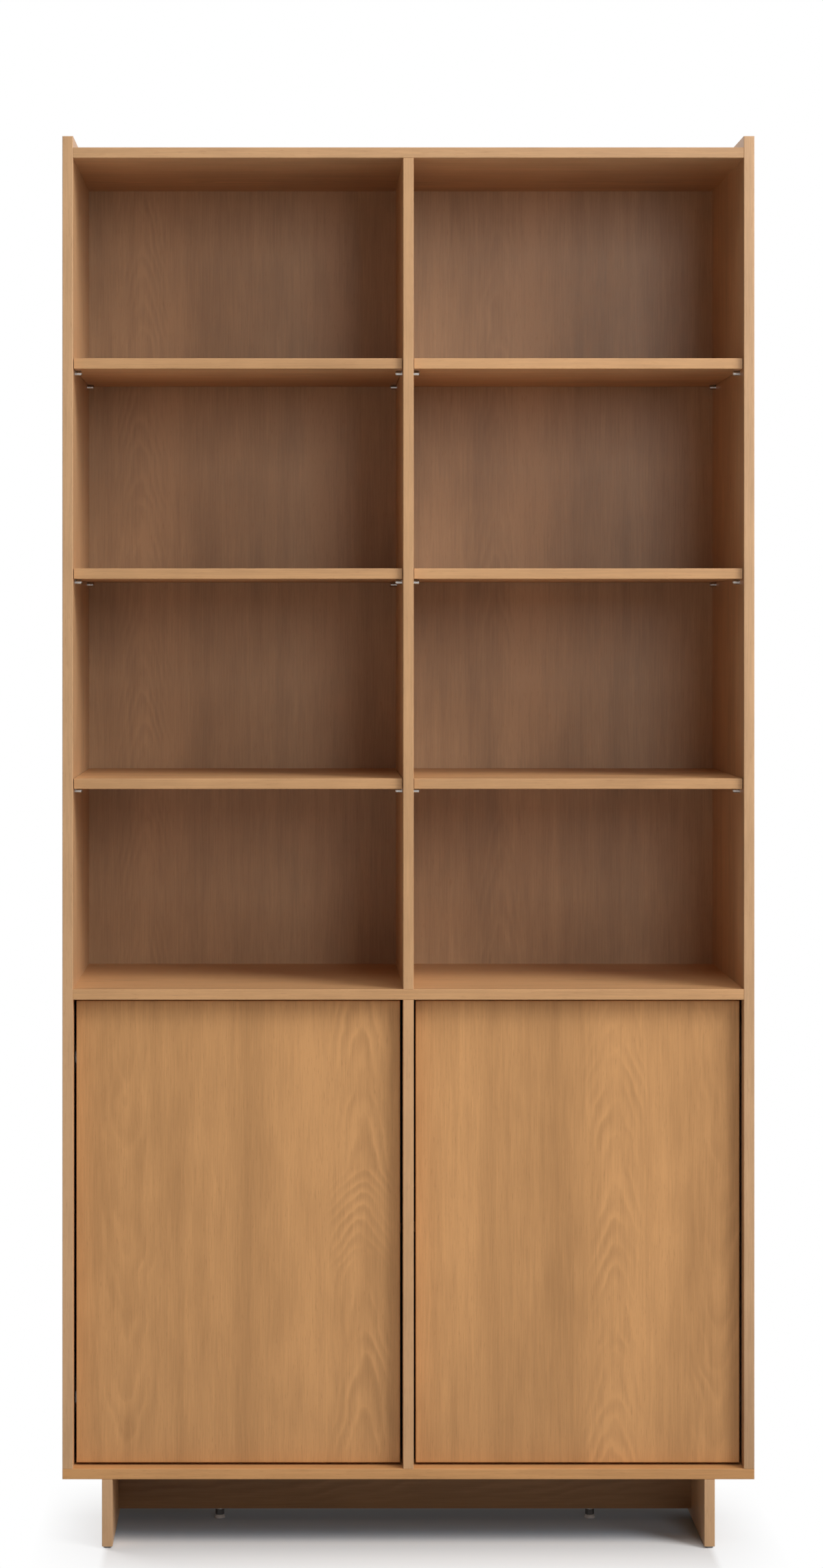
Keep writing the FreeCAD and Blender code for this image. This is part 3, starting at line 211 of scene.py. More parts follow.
class Shade:
    """A socket of a shader tree. Arithmetic on it adds Math nodes to the tree."""

    def __init__(self, tree, socket=None):
        self.tree = tree
        self.socket = socket

    def make(self, kind, settings=None, sockets=None, output=0):
        """Adds a node, sets its settings, then its sockets' values or links, and gives one output."""
        node = self.tree.nodes.new(kind)
        for name, setting in (settings or {}).items():
            setattr(node, name, setting)
        for key, value in (sockets or {}).items():
            if isinstance(value, Shade):
                self.tree.links.new(value.socket, node.inputs[key])
            else:
                node.inputs[key].default_value = value
        return Shade(self.tree, node.outputs[output])

    def other(self, output):
        """Another output of the same node."""
        return Shade(self.tree, self.socket.node.outputs[output])

    def math(self, operation, *values):
        return self.make("ShaderNodeMath", {"operation": operation}, dict(enumerate(values)))

    def blend(self, factor, first, second):
        """Mix of two colours."""
        settings = {"data_type": "RGBA"}
        return self.make("ShaderNodeMix", settings, {0: factor, 6: first, 7: second}, 2)

    def noise(self, vector, detail=2.0):
        sockets = {"Vector": vector, "Scale": 1.0, "Detail": detail}
        return self.make("ShaderNodeTexNoise", None, sockets)

    def spread(self, low, high):
        """Straight ramp from 0 at low to 1 at high, held at its ends."""
        sockets = {"Value": self, "From Min": low, "From Max": high}
        return self.make("ShaderNodeMapRange", {"clamp": True}, sockets)

    def root(self):
        return self.math("SQRT", self)

    def size(self):
        return self.math("ABSOLUTE", self)

    def fraction(self):
        return self.math("FRACT", self)

    def __add__(self, value):
        return self.math("ADD", self, value)

    def __radd__(self, value):
        return self.math("ADD", value, self)

    def __sub__(self, value):
        return self.math("SUBTRACT", self, value)

    def __rsub__(self, value):
        return self.math("SUBTRACT", value, self)

    def __mul__(self, value):
        return self.math("MULTIPLY", self, value)

    def __rmul__(self, value):
        return self.math("MULTIPLY", value, self)

    def __truediv__(self, value):
        return self.math("DIVIDE", self, value)


def new_shader(name):
    """Empty material with its tree and its output node."""
    material = bpy.data.materials.new(name)
    material.use_nodes = True
    material.node_tree.nodes.clear()
    output = material.node_tree.nodes.new("ShaderNodeOutputMaterial")
    return material, Shade(material.node_tree), output


def close_shader(shade, output, shader):
    shade.tree.links.new(shader.socket, output.inputs["Surface"])


def colour(values):
    return (*values, 1.0)


class Heart:
    """Arched figure over a heart of the log: where it lies across the board, the spacing of the
    growth rings beside it, how many rings come to the face per metre along the board (below
    nought the arches hang down), how many more crowd about the middle, and its strength."""

    def __init__(self, across, spacing, pitch, crowd=0.0, strength=1.0):
        self.across = across
        self.spacing = spacing
        self.pitch = pitch
        self.crowd = crowd
        self.strength = strength


class Cut:
    """How a board's veneer is cut: which axis is across, along and through it, which hearts of the
    log show in it and where a dark stripe runs across it. Tone makes the board lighter, warmth
    takes it from the pale wood at 0 to the golden wood at 1, and a factor below 1 darkens it as
    painted shade, for a board that lies in deep shadow."""

    def __init__(self, axes, hearts, seed, tone=0.0, warmth=0.0, stripe=None, painted_shade_factor=1.0):
        self.axes = axes
        self.hearts = hearts
        self.seed = seed
        self.tone = tone
        self.warmth = warmth
        self.stripe = stripe
        self.painted_shade_factor = painted_shade_factor


UPRIGHT_FRONT = (0, 2, 1)
UPRIGHT_SIDE = (1, 2, 0)
LEVEL = (1, 0, 2)
LEVEL_FRONT = (2, 0, 1)


def oak(name, centre, cut, look):
    """Oak veneer. Growth rings are cones about a heart of the log, cut lengthwise: a ring's number
    is the distance from the heart, rounded at the tip, over the spacing, plus the pitch times the
    place along the board, so the rings show as nested arches. Noise drawn out along the grain
    adds bands, streaks, fibres and pores."""
    material, shade, output = new_shader(name)
    place = shade.make("ShaderNodeTexCoord", output="Object")
    sockets = {"Vector": place, "Location": tuple(-centre)}
    centred = shade.make("ShaderNodeMapping", None, sockets)
    split = shade.make("ShaderNodeSeparateXYZ", None, {0: centred})
    across, along, through = (split.other("XYZ"[axis]) for axis in cut.axes)
    grain = shade.make("ShaderNodeCombineXYZ", None, {0: across, 1: along, 2: through})

    def drawn_out(width, length, number, detail=2.0):
        """Noise in grains of a width across and a length along the board, about nought."""
        scale = (1 / width, 1 / length, 1 / width)
        shift = (cut.seed * 7.3 + number, cut.seed * 3.1 - number, cut.seed * 1.7)
        sockets = {"Vector": grain, "Location": shift, "Scale": scale}
        return shade.noise(shade.make("ShaderNodeMapping", None, sockets), detail) - 0.5

    sway = drawn_out(0.20, 0.35, 1) * 0.03
    drift = drawn_out(0.40, 0.12, 2) * 2.2
    ripple = drawn_out(0.02, 0.06, 3) * 0.9
    patches = drawn_out(0.05, 0.09, 8).spread(-0.15, 0.12)
    tip_radius = 0.014
    figure = 0.0
    for heart in cut.hearts:
        aside = across - heart.across + sway
        distance = (aside * aside + tip_radius * tip_radius).root() / heart.spacing
        climb = along * heart.pitch + along.spread(-0.05, 0.09) * heart.crowd
        ring = (distance + climb + drift + ripple).fraction()
        line = ring * ring * (1 - ring) * 6.75 - 0.5
        reach = 1 - aside.size().spread(0.018, 0.050)
        figure = figure + line * reach * patches * heart.strength
    bands = drawn_out(0.11, 2.0, 4)
    streaks = drawn_out(0.012, 0.35, 5)
    mottle = drawn_out(0.035, 0.10, 9)
    fibres = drawn_out(0.0018, 0.06, 6, 3.0)
    tone = 0.64 + cut.tone + bands * 1.55 + streaks * 0.70 + mottle * 0.75 + fibres * 0.85
    if cut.stripe is not None:
        tone = tone - (1 - (across - cut.stripe).size().spread(0.0, 0.032)) * (0.35 + mottle)
    tone = (tone - figure * 0.58).spread(0.0, 1.0)
    # A factor below 1 darkens the wood as painted shade.
    dark = Vector(look.pale_dark).lerp(look.golden_dark, cut.warmth) * cut.painted_shade_factor
    light = Vector(look.pale_light).lerp(look.golden_light, cut.warmth) * cut.painted_shade_factor
    wood = shade.blend(tone, colour(dark), colour(light))
    pores = drawn_out(0.0010, 0.016, 7).spread(0.10, 0.24) * (figure * 0.5 + 0.6)
    wood = shade.blend(pores * 0.55, wood, colour(look.pore))
    rough = look.roughness + fibres * 0.12 + pores * 0.15
    relief = fibres * 0.5 - pores
    bump = shade.make(
        "ShaderNodeBump", None, {"Strength": 0.12, "Distance": 0.0004, "Height": relief}
    )
    surface = {
        "Base Color": wood,
        "Roughness": rough,
        "Normal": bump,
        "IOR": 1.48,
        "Specular IOR Level": 0.5 - 0.3 * max(0.0, cut.warmth),
    }
    close_shader(shade, output, shade.make("ShaderNodeBsdfPrincipled", None, surface))
    return material


def plated(name, base, roughness, grain_size):
    """Metal with fine mottling in its tone, polish and relief."""
    material, shade, output = new_shader(name)
    place = shade.make("ShaderNodeTexCoord", output="Object")
    fine = {"Vector": place, "Scale": (1 / grain_size,) * 3}
    mottle = shade.noise(shade.make("ShaderNodeMapping", None, fine), 4.0)
    dull = tuple(value * 0.72 for value in base)
    metal = shade.blend(mottle.spread(0.3, 0.7), colour(dull), colour(base))
    rough = roughness + (mottle - 0.5) * 0.25
    bump = shade.make(
        "ShaderNodeBump", None, {"Strength": 0.15, "Distance": 0.0001, "Height": mottle}
    )
    surface = {"Base Color": metal, "Metallic": 1.0, "Roughness": rough, "Normal": bump}
    close_shader(shade, output, shade.make("ShaderNodeBsdfPrincipled", None, surface))
    return material


def moulded(name, base, roughness, grain_size):
    """Plastic or plain wood with a fine even grain."""
    material, shade, output = new_shader(name)
    place = shade.make("ShaderNodeTexCoord", output="Object")
    fine = {"Vector": place, "Scale": (1 / grain_size,) * 3}
    grain = shade.noise(shade.make("ShaderNodeMapping", None, fine), 3.0)
    pale = tuple(min(1.0, value * 1.5 + 0.01) for value in base)
    plastic = shade.blend(grain.spread(0.3, 0.8), colour(base), colour(pale))
    rough = roughness + (grain - 0.5) * 0.2
    bump = shade.make(
        "ShaderNodeBump", None, {"Strength": 0.25, "Distance": 0.0001, "Height": grain}
    )
    surface = {"Base Color": plastic, "Roughness": rough, "Normal": bump}
    close_shader(shade, output, shade.make("ShaderNodeBsdfPrincipled", None, surface))
    return material


# Surfaces worked out on grids


def turned(radius, height):
    """Closed surface of revolution on a grid of rows along a profile and steps round the axis: the
    point of row i and step j is (r cos a, r sin a, h) with a = 2 pi j / steps. Both ends close in
    one point on the axis. Radius and height may vary round the axis."""
    rows, steps = radius.shape
    angle = np.linspace(0, 2 * np.pi, steps, endpoint=False)
    wall = np.stack([radius * np.cos(angle), radius * np.sin(angle), height], axis=-1)
    ends = np.array([[0, 0, height[0].mean()], [0, 0, height[-1].mean()]])
    points = np.concatenate([wall.reshape(-1, 3), ends])
    number = np.arange(rows * steps).reshape(rows, steps)
    after = np.roll(number, -1, axis=1)
    quads = np.stack([number[:-1], after[:-1], after[1:], number[1:]], axis=-1).reshape(-1, 4)
    first = np.full(steps, rows * steps)
    last = first + 1
    low = np.stack([first, after[0], number[0]], axis=-1)
    high = np.stack([last, number[-1], after[-1]], axis=-1)
    return points, quads, np.concatenate([low, high])


def placed(surface, spots):
    """Copies of a surface, each with its axis turned to a direction and moved to a place."""
    points, quads, triangles = surface
    up = Vector((0, 0, 1))
    turns = [np.array(up.rotation_difference(Vector(way)).to_matrix()) for _, way in spots]
    places = np.array([place for place, _ in spots])
    copies = np.einsum("kij,nj->kni", np.array(turns), points) + places[:, None, :]
    shift = np.arange(len(spots))[:, None, None] * len(points)
    return (
        copies.reshape(-1, 3),
        (quads[None] + shift).reshape(-1, 4),
        (triangles[None] + shift).reshape(-1, 3),
    )


def add_piece(name, surface, material, body):
    """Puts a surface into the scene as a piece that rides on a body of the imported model."""
    points, quads, triangles = surface
    mesh = bpy.data.meshes.new(name)
    mesh.from_pydata(points.tolist(), [], quads.tolist() + triangles.tolist())
    mesh.polygons.foreach_set("use_smooth", np.ones(len(mesh.polygons), bool))
    mesh.set_sharp_from_angle(angle=math.radians(35))
    mesh.materials.append(material)
    piece = bpy.data.objects.new(name, mesh)
    bpy.context.scene.collection.objects.link(piece)
    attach(piece, body)
    return piece


def dress(node, material):
    """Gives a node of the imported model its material."""
    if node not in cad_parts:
        raise RuntimeError(f"The packed model has no node {node}")
    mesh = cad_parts[node].data
    mesh.materials.clear()
    mesh.materials.append(material)


def finish_of(name):
    """Metal or plastic that the hardware step has made."""
    if name not in bpy.data.materials:
        raise RuntimeError(f"Finish the hardware first: there is no {name}")
    return bpy.data.materials[name]


def middle(node):
    low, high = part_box(node)
    return (low + high) / 2


STEPS_ROUND = 48


def cross_recess(radius, reach, width, depth):
    """Depth of a cross-shaped recess in a screw head: full where a point lies within half the
    width of either arm, with a soft wall, and running out towards the arms' ends."""
    angle = np.linspace(0, 2 * np.pi, STEPS_ROUND, endpoint=False)[None, :]
    off_arm = radius * np.minimum(np.abs(np.cos(angle)), np.abs(np.sin(angle)))
    wall = np.clip((width - off_arm) / (0.3 * width), 0, 1)
    run_out = np.clip((reach - radius) / (0.35 * reach), 0, 1)
    return depth * wall * run_out


def screw_surface(head, crown, recess, shank, length):
    """Screw along its drive from nought: rows go over the crowned head, with its cross recess cut
    in, round its rim, along the shank and to the point."""
    head_share = np.concatenate([np.linspace(0.06, 0.62, 9), np.linspace(0.70, 1.0, 5)])
    over = head_share[:, None] * head * np.ones(STEPS_ROUND)
    dome = -crown * np.sqrt(np.clip(1 - 0.85 * head_share**2, 0, 1))[:, None]
    sunk = cross_recess(over, 0.62 * head, 0.16 * head, recess)
    body_radius = np.array([head, shank, shank, 0.15 * shank])
    body_height = np.array([0.0, 0.0, length - 2 * shank, length])
    round_axis = np.ones((1, STEPS_ROUND))
    radius = np.concatenate([over, body_radius[:, None] * round_axis])
    height = np.concatenate([dome + sunk, body_height[:, None] * round_axis])
    return turned(radius[::-1], height[::-1])


def flat_screw_surface(head, sunk_depth, recess, shank, length):
    """Screw whose flat head lies from nought to its depth along the drive: rows go over the flat
    face with its cross recess, down the rim and the taper to the shank and to the point."""
    head_share = np.concatenate([np.linspace(0.06, 0.62, 9), np.linspace(0.70, 0.97, 4)])
    over = head_share[:, None] * head * np.ones(STEPS_ROUND)
    sunk = cross_recess(over, 0.60 * head, 0.14 * head, recess) + 0.0001
    body_radius = np.array([head, head, shank, shank, 0.15 * shank])
    body_height = np.array([0.0003, 0.001, sunk_depth, length - 2 * shank, length])
    round_axis = np.ones((1, STEPS_ROUND))
    radius = np.concatenate([over, body_radius[:, None] * round_axis])
    height = np.concatenate([sunk, body_height[:, None] * round_axis])
    return turned(radius[::-1], height[::-1])


def cam_surface(radius, depth, recess):
    """Cam disc from its face at nought down: rows go over the face with a cross recess, round a
    narrow rim and down the wall to the underside."""
    share = np.concatenate([np.linspace(0.05, 0.62, 10), np.linspace(0.70, 0.96, 4)])
    over = share[:, None] * radius * np.ones(STEPS_ROUND)
    sunk = cross_recess(over, 0.60 * radius, 0.13 * radius, recess) + 0.0002
    round_axis = np.ones((1, STEPS_ROUND))
    wall_radius = np.array([radius, radius, 0.9 * radius])[:, None] * round_axis
    wall_height = np.array([0.0006, depth - 0.0005, depth])[:, None] * round_axis
    rows = np.concatenate([over, wall_radius]), np.concatenate([sunk, wall_height])
    return turned(rows[0][::-1], rows[1][::-1])


def pad_surface(pad, sizes):
    """Pad of a levelling foot on its axis: a rim whose ribs come and go with the cosine of sixteen
    times the angle, and a cone above it up to the neck."""
    rim, neck = sizes.foot_rim, sizes.foot_neck
    top = rim + sizes.foot_cone
    profile = np.array([
        (0.35 * pad, 0.0, 0.0),
        (0.93 * pad, 0.0, 0.0),
        (pad, 0.0005, 1.0),
        (pad, rim - 0.0004, 1.0),
        (0.95 * pad, rim, 0.0),
        ((pad + neck) / 2, (rim + top) / 2, 0.0),
        (neck, top, 0.0),
        (0.5 * neck, top, 0.0),
    ])
    angle = np.linspace(0, 2 * np.pi, STEPS_ROUND, endpoint=False)[None, :]
    ribs = 1 - 0.015 * (1 + np.cos(angle * 16)) * profile[:, 2:3]
    return turned(profile[:, 0:1] * ribs, profile[:, 1:2] * np.ones(STEPS_ROUND))


def stem_surface(tall, sizes):
    """Nut and stem of a levelling foot on its axis: the nut's rows follow the hexagon
    a / cos(angle), and the stem's radius swings with height / pitch - angle / turn, which makes
    a thread."""
    low, high = sizes.foot_rim + sizes.foot_cone, sizes.nut_top
    nut, stem = sizes.nut_radius, sizes.stem_radius
    angle = np.linspace(0, 2 * np.pi, STEPS_ROUND, endpoint=False)[None, :]
    round_axis = np.ones((1, STEPS_ROUND))
    flats = nut * math.cos(math.pi / 6) / np.cos((angle % (math.pi / 3)) - math.pi / 6)
    turns = int((tall - high) / sizes.thread_pitch)
    stem_rows = np.linspace(high + 0.0002, tall - 0.0006, turns * 8)[:, None] * round_axis
    turn = stem_rows / sizes.thread_pitch - angle / (2 * np.pi)
    thread = stem - sizes.thread_depth * np.abs(2 * (turn % 1) - 1)
    face = 0.84 * nut * round_axis
    collar, tip = stem * round_axis, 0.6 * stem * round_axis
    radius = [face, flats, flats, face, collar, thread, tip]
    levels = [low, low + 0.0004, high - 0.0004, high, high + 0.0001]
    height = [level * round_axis for level in levels] + [stem_rows, tall * round_axis]
    return turned(np.concatenate(radius), np.concatenate(height))


# Pieces


class BOOKCASE_OT_boards(bpy.types.Operator):
    """Gives every board of the bookcase its oak veneer, with its own cut of the log"""

    bl_idname = "bookcase.boards"
    bl_label = "Veneer the boards"

    def execute(self, context):
        look = context.scene.bookcase_oak
        backs = [Heart(-0.395, 0.008, 22, strength=0.6), Heart(0.15, 0.010, 16, strength=0.4)]
        left = [Heart(0.175, 0.0125, 17, crowd=5.0), Heart(-0.158, 0.0150, -9, strength=0.6)]
        right = [Heart(0.052, 0.0125, 23), Heart(0.203, 0.0125, -15, strength=0.6)]
        # Besides the wood's own variation, the tones hold painted light and shade: the left side
        # panel, the middle deck and the leg panels are lighter, and the top panel darker, to even out
        # how the lamps light them.
        cuts = {
            "left_side_panel": Cut(UPRIGHT_SIDE, [Heart(0.05, 0.012, 9)], 1, tone=0.2, warmth=0.1),
            "right_side_panel": Cut(UPRIGHT_SIDE, [Heart(-0.04, 0.012, -8)], 2, tone=0.05),
            "upper_divider": Cut(UPRIGHT_SIDE, [Heart(0.10, 0.012, 7)], 3, warmth=0.3),
            "lower_divider": Cut(UPRIGHT_SIDE, [Heart(-0.10, 0.012, 9)], 4, tone=0.05, warmth=0.3),
            "top_panel": Cut(LEVEL, [Heart(0.08, 0.012, 10)], 5, tone=-0.2, warmth=0.25),
            "middle_deck": Cut(LEVEL, [Heart(-0.05, 0.012, -10)], 6, tone=0.30, warmth=0.55),
            "bottom_panel": Cut(LEVEL, [Heart(0.02, 0.012, 10)], 7, tone=-0.05, warmth=1.0),
            "upper_back_panel": Cut(UPRIGHT_FRONT, backs, 8, warmth=-0.25),
            "lower_back_panel": Cut(UPRIGHT_FRONT, backs, 9, warmth=-0.25),
            "left_leg_panel": Cut(UPRIGHT_SIDE, [Heart(0.10, 0.012, 10)], 10, tone=0.55),
            "right_leg_panel": Cut(UPRIGHT_SIDE, [Heart(0.10, 0.012, 10)], 11, tone=0.4),
            # The rail's low tone and its factor below 1 are painted shade: it lies in deep shadow
            # under the bottom panel.
            "base_rail": Cut(LEVEL_FRONT, [Heart(0.01, 0.012, 10)], 12, -0.3, 0.7, painted_shade_factor=0.56),
            "left_door": Cut(UPRIGHT_FRONT, left, 13, warmth=1.0, stripe=0.013),
            "right_door": Cut(UPRIGHT_FRONT, right, 14, tone=-0.06, warmth=1.0, stripe=-0.121),
        }
        for number, (side, sign) in enumerate(SIDES.items()):
            for level, shelf in enumerate((*SHELVES, "cabinet")):
                seed = 20 + 5 * number + level
                hearts = [Heart(0.06 * sign, 0.012, 10)]
                cuts[f"{side}_{shelf}_shelf"] = Cut(LEVEL, hearts, seed, warmth=0.5)
        for node, cut in cuts.items():
            dress(node, oak(f"oak_{node}", middle(node), cut, look))
        return {"FINISHED"}


class BOOKCASE_OT_hardware(bpy.types.Operator):
    """Gives hinges, pins, inserts, latches and glides their metal and plastic"""

    bl_idname = "bookcase.hardware"
    bl_label = "Finish the hardware"

    def execute(self, context):
        finish = context.scene.bookcase_hardware
        steel = plated("plated_steel", finish.steel, roughness=0.30, grain_size=0.0012)
        zinc = plated("cast_zinc", finish.zinc, roughness=0.45, grain_size=0.0008)
        dark = moulded("dark_plastic", finish.dark_plastic, roughness=0.48, grain_size=0.0006)
        grey = moulded("grey_plastic", finish.grey_plastic, roughness=0.50, grain_size=0.0006)
        beech = moulded("beech", finish.beech, roughness=0.60, grain_size=0.0010)
        for node in ("open_shelf_pins", "cabinet_shelf_pins", "foot_inserts"):
            dress(node, steel)
        for side in SIDES:
            for hinge in HINGES:
                for piece in ("cup", "arm", "plate"):
                    dress(f"{side}_{hinge}_hinge_{piece}", steel)
            dress(f"{side}_hinge_pins", steel)
            dress(f"{side}_strike_plate", steel)
            dress(f"{side}_latch_housing", dark)
            dress(f"{side}_latch_plunger", dark)
        dress("cam_bolts", zinc)
        dress("leg_glides", grey)
        dress("dowels", beech)
        return {"FINISHED"}


class BOOKCASE_OT_board_screws(bpy.types.Operator):
    """Makes the long screws that join the boards, with cross recesses in their flat heads"""

    bl_idname = "bookcase.board_screws"
    bl_label = "Board screws"

    def execute(self, context):
        sizes = context.scene.bookcase_sizes
        bottom_low, bottom_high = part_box("bottom_panel")
        deck_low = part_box("middle_deck")[0]
        top_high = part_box("top_panel")[1]
        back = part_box("upper_back_panel")[0].y
        lines = (bottom_low.y + sizes.fixing_inset, back - sizes.fixing_inset)
        side_x = middle("right_side_panel").x
        leg_x = middle("right_leg_panel").x
        rail_y = middle("base_rail").y
        up, down = (0, 0, 1), (0, 0, -1)
        spots = [((x, y, bottom_low.z), up) for x in (-side_x, 0, side_x) for y in lines]
        spots += [((x, y, bottom_high.z), down) for x in (-leg_x, leg_x) for y in lines]
        offset = sizes.rail_screw
        spots += [((x, rail_y, bottom_high.z), down) for x in (-offset, offset)]
        spots += [((0, y, deck_low.z), up) for y in lines]
        spots += [((0, y, top_high.z), down) for y in lines]
        surface = flat_screw_surface(
            head=0.0045, sunk_depth=0.003, recess=0.0016, shank=0.0025, length=0.050
        )
        steel = finish_of("plated_steel")
        screws = add_piece("joining_screws", placed(surface, spots), steel, "carcass")
        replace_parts(screws, "board_screws")
        return {"FINISHED"}


def small_screws(name, spots, body, node):
    """Pan-headed screws at their spots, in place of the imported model's plain ones."""
    surface = screw_surface(
        head=0.00325, crown=0.0018, recess=0.0013, shank=0.00175, length=0.013
    )
    steel = finish_of("plated_steel")
    piece = add_piece(name, placed(surface, spots), steel, body)
    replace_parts(piece, node)


class BOOKCASE_OT_back_screws(bpy.types.Operator):
    """Makes the rows of screws that hold the back panels"""

    bl_idname = "bookcase.back_screws"
    bl_label = "Back panel screws"

    def execute(self, context):
        inset = context.scene.bookcase_sizes.back_screw
        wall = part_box("right_side_panel")[0].x
        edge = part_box("upper_back_panel")[1].x
        column = wall + round((edge - wall) / MILLIMETRE) * MILLIMETRE / 2
        levels = []
        for node, count in (("upper_back_panel", 4), ("lower_back_panel", 2)):
            low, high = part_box(node)
            levels += list(np.linspace(low.z + inset, high.z - inset, count))
        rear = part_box("upper_back_panel")[1].y
        spots = [((x, rear, z), (0, -1, 0)) for x in (-column, 0, column) for z in levels]
        small_screws("back_screws", spots, "carcass", "back_panel_screws")
        return {"FINISHED"}


class BOOKCASE_OT_hinge_screws(bpy.types.Operator):
    """Makes the screws of the hinges, the strike plates and the push latches"""

    bl_idname = "bookcase.hinge_screws"
    bl_label = "Hinge and latch screws"

    def execute(self, context):
        sizes = context.scene.bookcase_sizes
        ears = []
        for side, sign in SIDES.items():
            plates, doors = [], []
            for hinge in HINGES:
                low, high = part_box(f"{side}_{hinge}_hinge_plate")
                centre = (low + high) / 2
                face = high.x if sign < 0 else low.x
                for level in (-sizes.plate_hole, sizes.plate_hole):
                    plates.append(((face, centre.y, centre.z + level), (sign, 0, 0)))
                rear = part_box(f"{side}_{hinge}_hinge_cup")[1].y
                centre = middle(f"{side}_{hinge}_hinge_cup")
                for level in (-sizes.cup_hole, sizes.cup_hole):
                    x = centre.x - sign * sizes.cup_ear
                    doors.append(((x, rear, centre.z + level), (0, -1, 0)))
            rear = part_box(f"{side}_strike_plate")[1].y
            centre = middle(f"{side}_strike_plate")
            for offset in (-sizes.strike_hole, sizes.strike_hole):
                doors.append(((centre.x + offset, rear, centre.z), (0, -1, 0)))
            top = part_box(f"{side}_latch_housing")[1].z
            centre = middle(f"{side}_latch_housing")
            for offset in (-sizes.latch_hole, sizes.latch_hole):
                ears.append(((centre.x + offset, centre.y, top - sizes.latch_ear), (0, 0, 1)))
            small_screws(f"{side}_plate_screws", plates, "carcass", f"{side}_hinge_screws")
            small_screws(f"{side}_cup_screws", doors, f"{side}_door", f"{side}_door_screws")
        small_screws("latch_ear_screws", ears, "carcass", "latch_screws")
        return {"FINISHED"}


class BOOKCASE_OT_cams(bpy.types.Operator):
    """Makes the cam discs in the top panel and under the deck"""

    bl_idname = "bookcase.cams"
    bl_label = "Cam discs"

    def execute(self, context):
        sizes = context.scene.bookcase_sizes
        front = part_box("top_panel")[0].y + sizes.fixing_inset
        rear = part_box("upper_back_panel")[0].y - sizes.fixing_inset
        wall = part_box("right_side_panel")[0].x
        x = wall - sizes.cam_distance
        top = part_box("top_panel")[1].z
        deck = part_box("middle_deck")[0].z
        spots = [((s * x, y, top), (0, 0, -1)) for s in (-1, 1) for y in (front, rear)]
        spots += [((s * x, y, deck), (0, 0, 1)) for s in (-1, 1) for y in (front, rear)]
        surface = cam_surface(radius=0.0075, depth=0.012, recess=0.002)
        zinc = finish_of("cast_zinc")
        discs = add_piece("slotted_cams", placed(surface, spots), zinc, "carcass")
        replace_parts(discs, "cam_discs")
        return {"FINISHED"}


class BOOKCASE_OT_feet(bpy.types.Operator):
    """Makes the two levelling feet with ribbed grey pads, dark nuts and threaded stems"""

    bl_idname = "bookcase.feet"
    bl_label = "Levelling feet"

    def execute(self, context):
        sizes = context.scene.bookcase_sizes
        grey = finish_of("grey_plastic")
        dark = finish_of("dark_plastic")
        for side in SIDES:
            node = f"{side}_levelling_foot"
            low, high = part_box(node)
            centre = (low + high) / 2
            spot = [((centre.x, centre.y, low.z), (0, 0, 1))]
            pad = placed(pad_surface((high.x - low.x) / 2, sizes), spot)
            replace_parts(add_piece(f"{side}_foot_pad", pad, grey, node), node)
            screw = placed(stem_surface(high.z - low.z, sizes), spot)
            add_piece(f"{side}_foot_stem", screw, dark, node)
        return {"FINISHED"}


# Stage


def seen_rays(shade):
    """1 for the rays that show the surroundings: to the camera, in a reflection or through glass."""
    path = shade.make("ShaderNodeLightPath", output="Is Camera Ray")
    seen = path.math("MAXIMUM", path, path.other("Is Glossy Ray"))
    return path.math("MAXIMUM", seen, path.other("Is Transmission Ray"))


def floor_material(stage):
    """Pale floor. Where it is seen it fades to plain white beside, behind and in front of the
    bookcase, and it keeps the bookcase's shadow under it and close to it. It throws most light back
    from a strip in front, which lights the undersides of the shelves. Under the bookcase its seen
    colour is painted shade, darker and bluish, and the blue also evens out the warm light from the
    wood. A faint painted light lifts the shadow from under the rear of the bookcase backwards."""
    low, high = CAD_BOX
    tone = stage.floor_tone
    material, shade, output = new_shader("pale_floor")
    place = shade.make("ShaderNodeTexCoord", output="Object")
    split = shade.make("ShaderNodeSeparateXYZ", None, {0: place})
    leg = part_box("right_leg_panel")[1].x
    off_middle = split.other("X").size()
    depth = split.other("Y")
    in_front = low.y - depth
    outside = off_middle.spread(leg - 0.01, leg)
    beside = outside * 0.68 + off_middle.spread(leg, leg + stage.shadow_beside) * 0.32
    ahead = in_front.spread(-0.03, stage.shadow_ahead)
    behind = (depth + outside * 0.15).spread(high.y - 0.05, high.y + stage.shadow_behind)
    # Painted light: a faint white lift of the seen floor from under the rear of the bookcase
    # backwards, standing in for light from behind.
    painted_back_light = depth.spread(-0.03, 0.04) * 0.035
    fade = 1 - (1 - beside) * (1 - ahead) * (1 - behind) * (1 - painted_back_light)
    # Painted shade: under the bookcase the seen floor colour is darker and bluish.
    under = (1 - in_front.spread(-0.09, -0.03)) * (1 - depth.spread(0.04, 0.10)) * (1 - outside)
    painted_shade_tint = colour((0.62 * tone, 0.76 * tone, 0.92 * tone))
    shown = shade.blend(under, colour([tone] * 3), painted_shade_tint)
    strip = in_front.spread(0.15, stage.strip_start) * (1 - in_front.spread(0.9, stage.strip_end))
    thrown_back = shade.blend(strip, colour([0.50] * 3), colour([1.0] * 3))
    seen = seen_rays(shade)
    matt = {"Color": shade.blend(seen, thrown_back, shown)}
    white = {"Color": (1, 1, 1, 1), "Strength": 1.0}
    sockets = {
        0: fade * seen,
        1: shade.make("ShaderNodeBsdfDiffuse", None, matt),
        2: shade.make("ShaderNodeEmission", None, white),
    }
    close_shader(shade, output, shade.make("ShaderNodeMixShader", None, sockets))
    return material


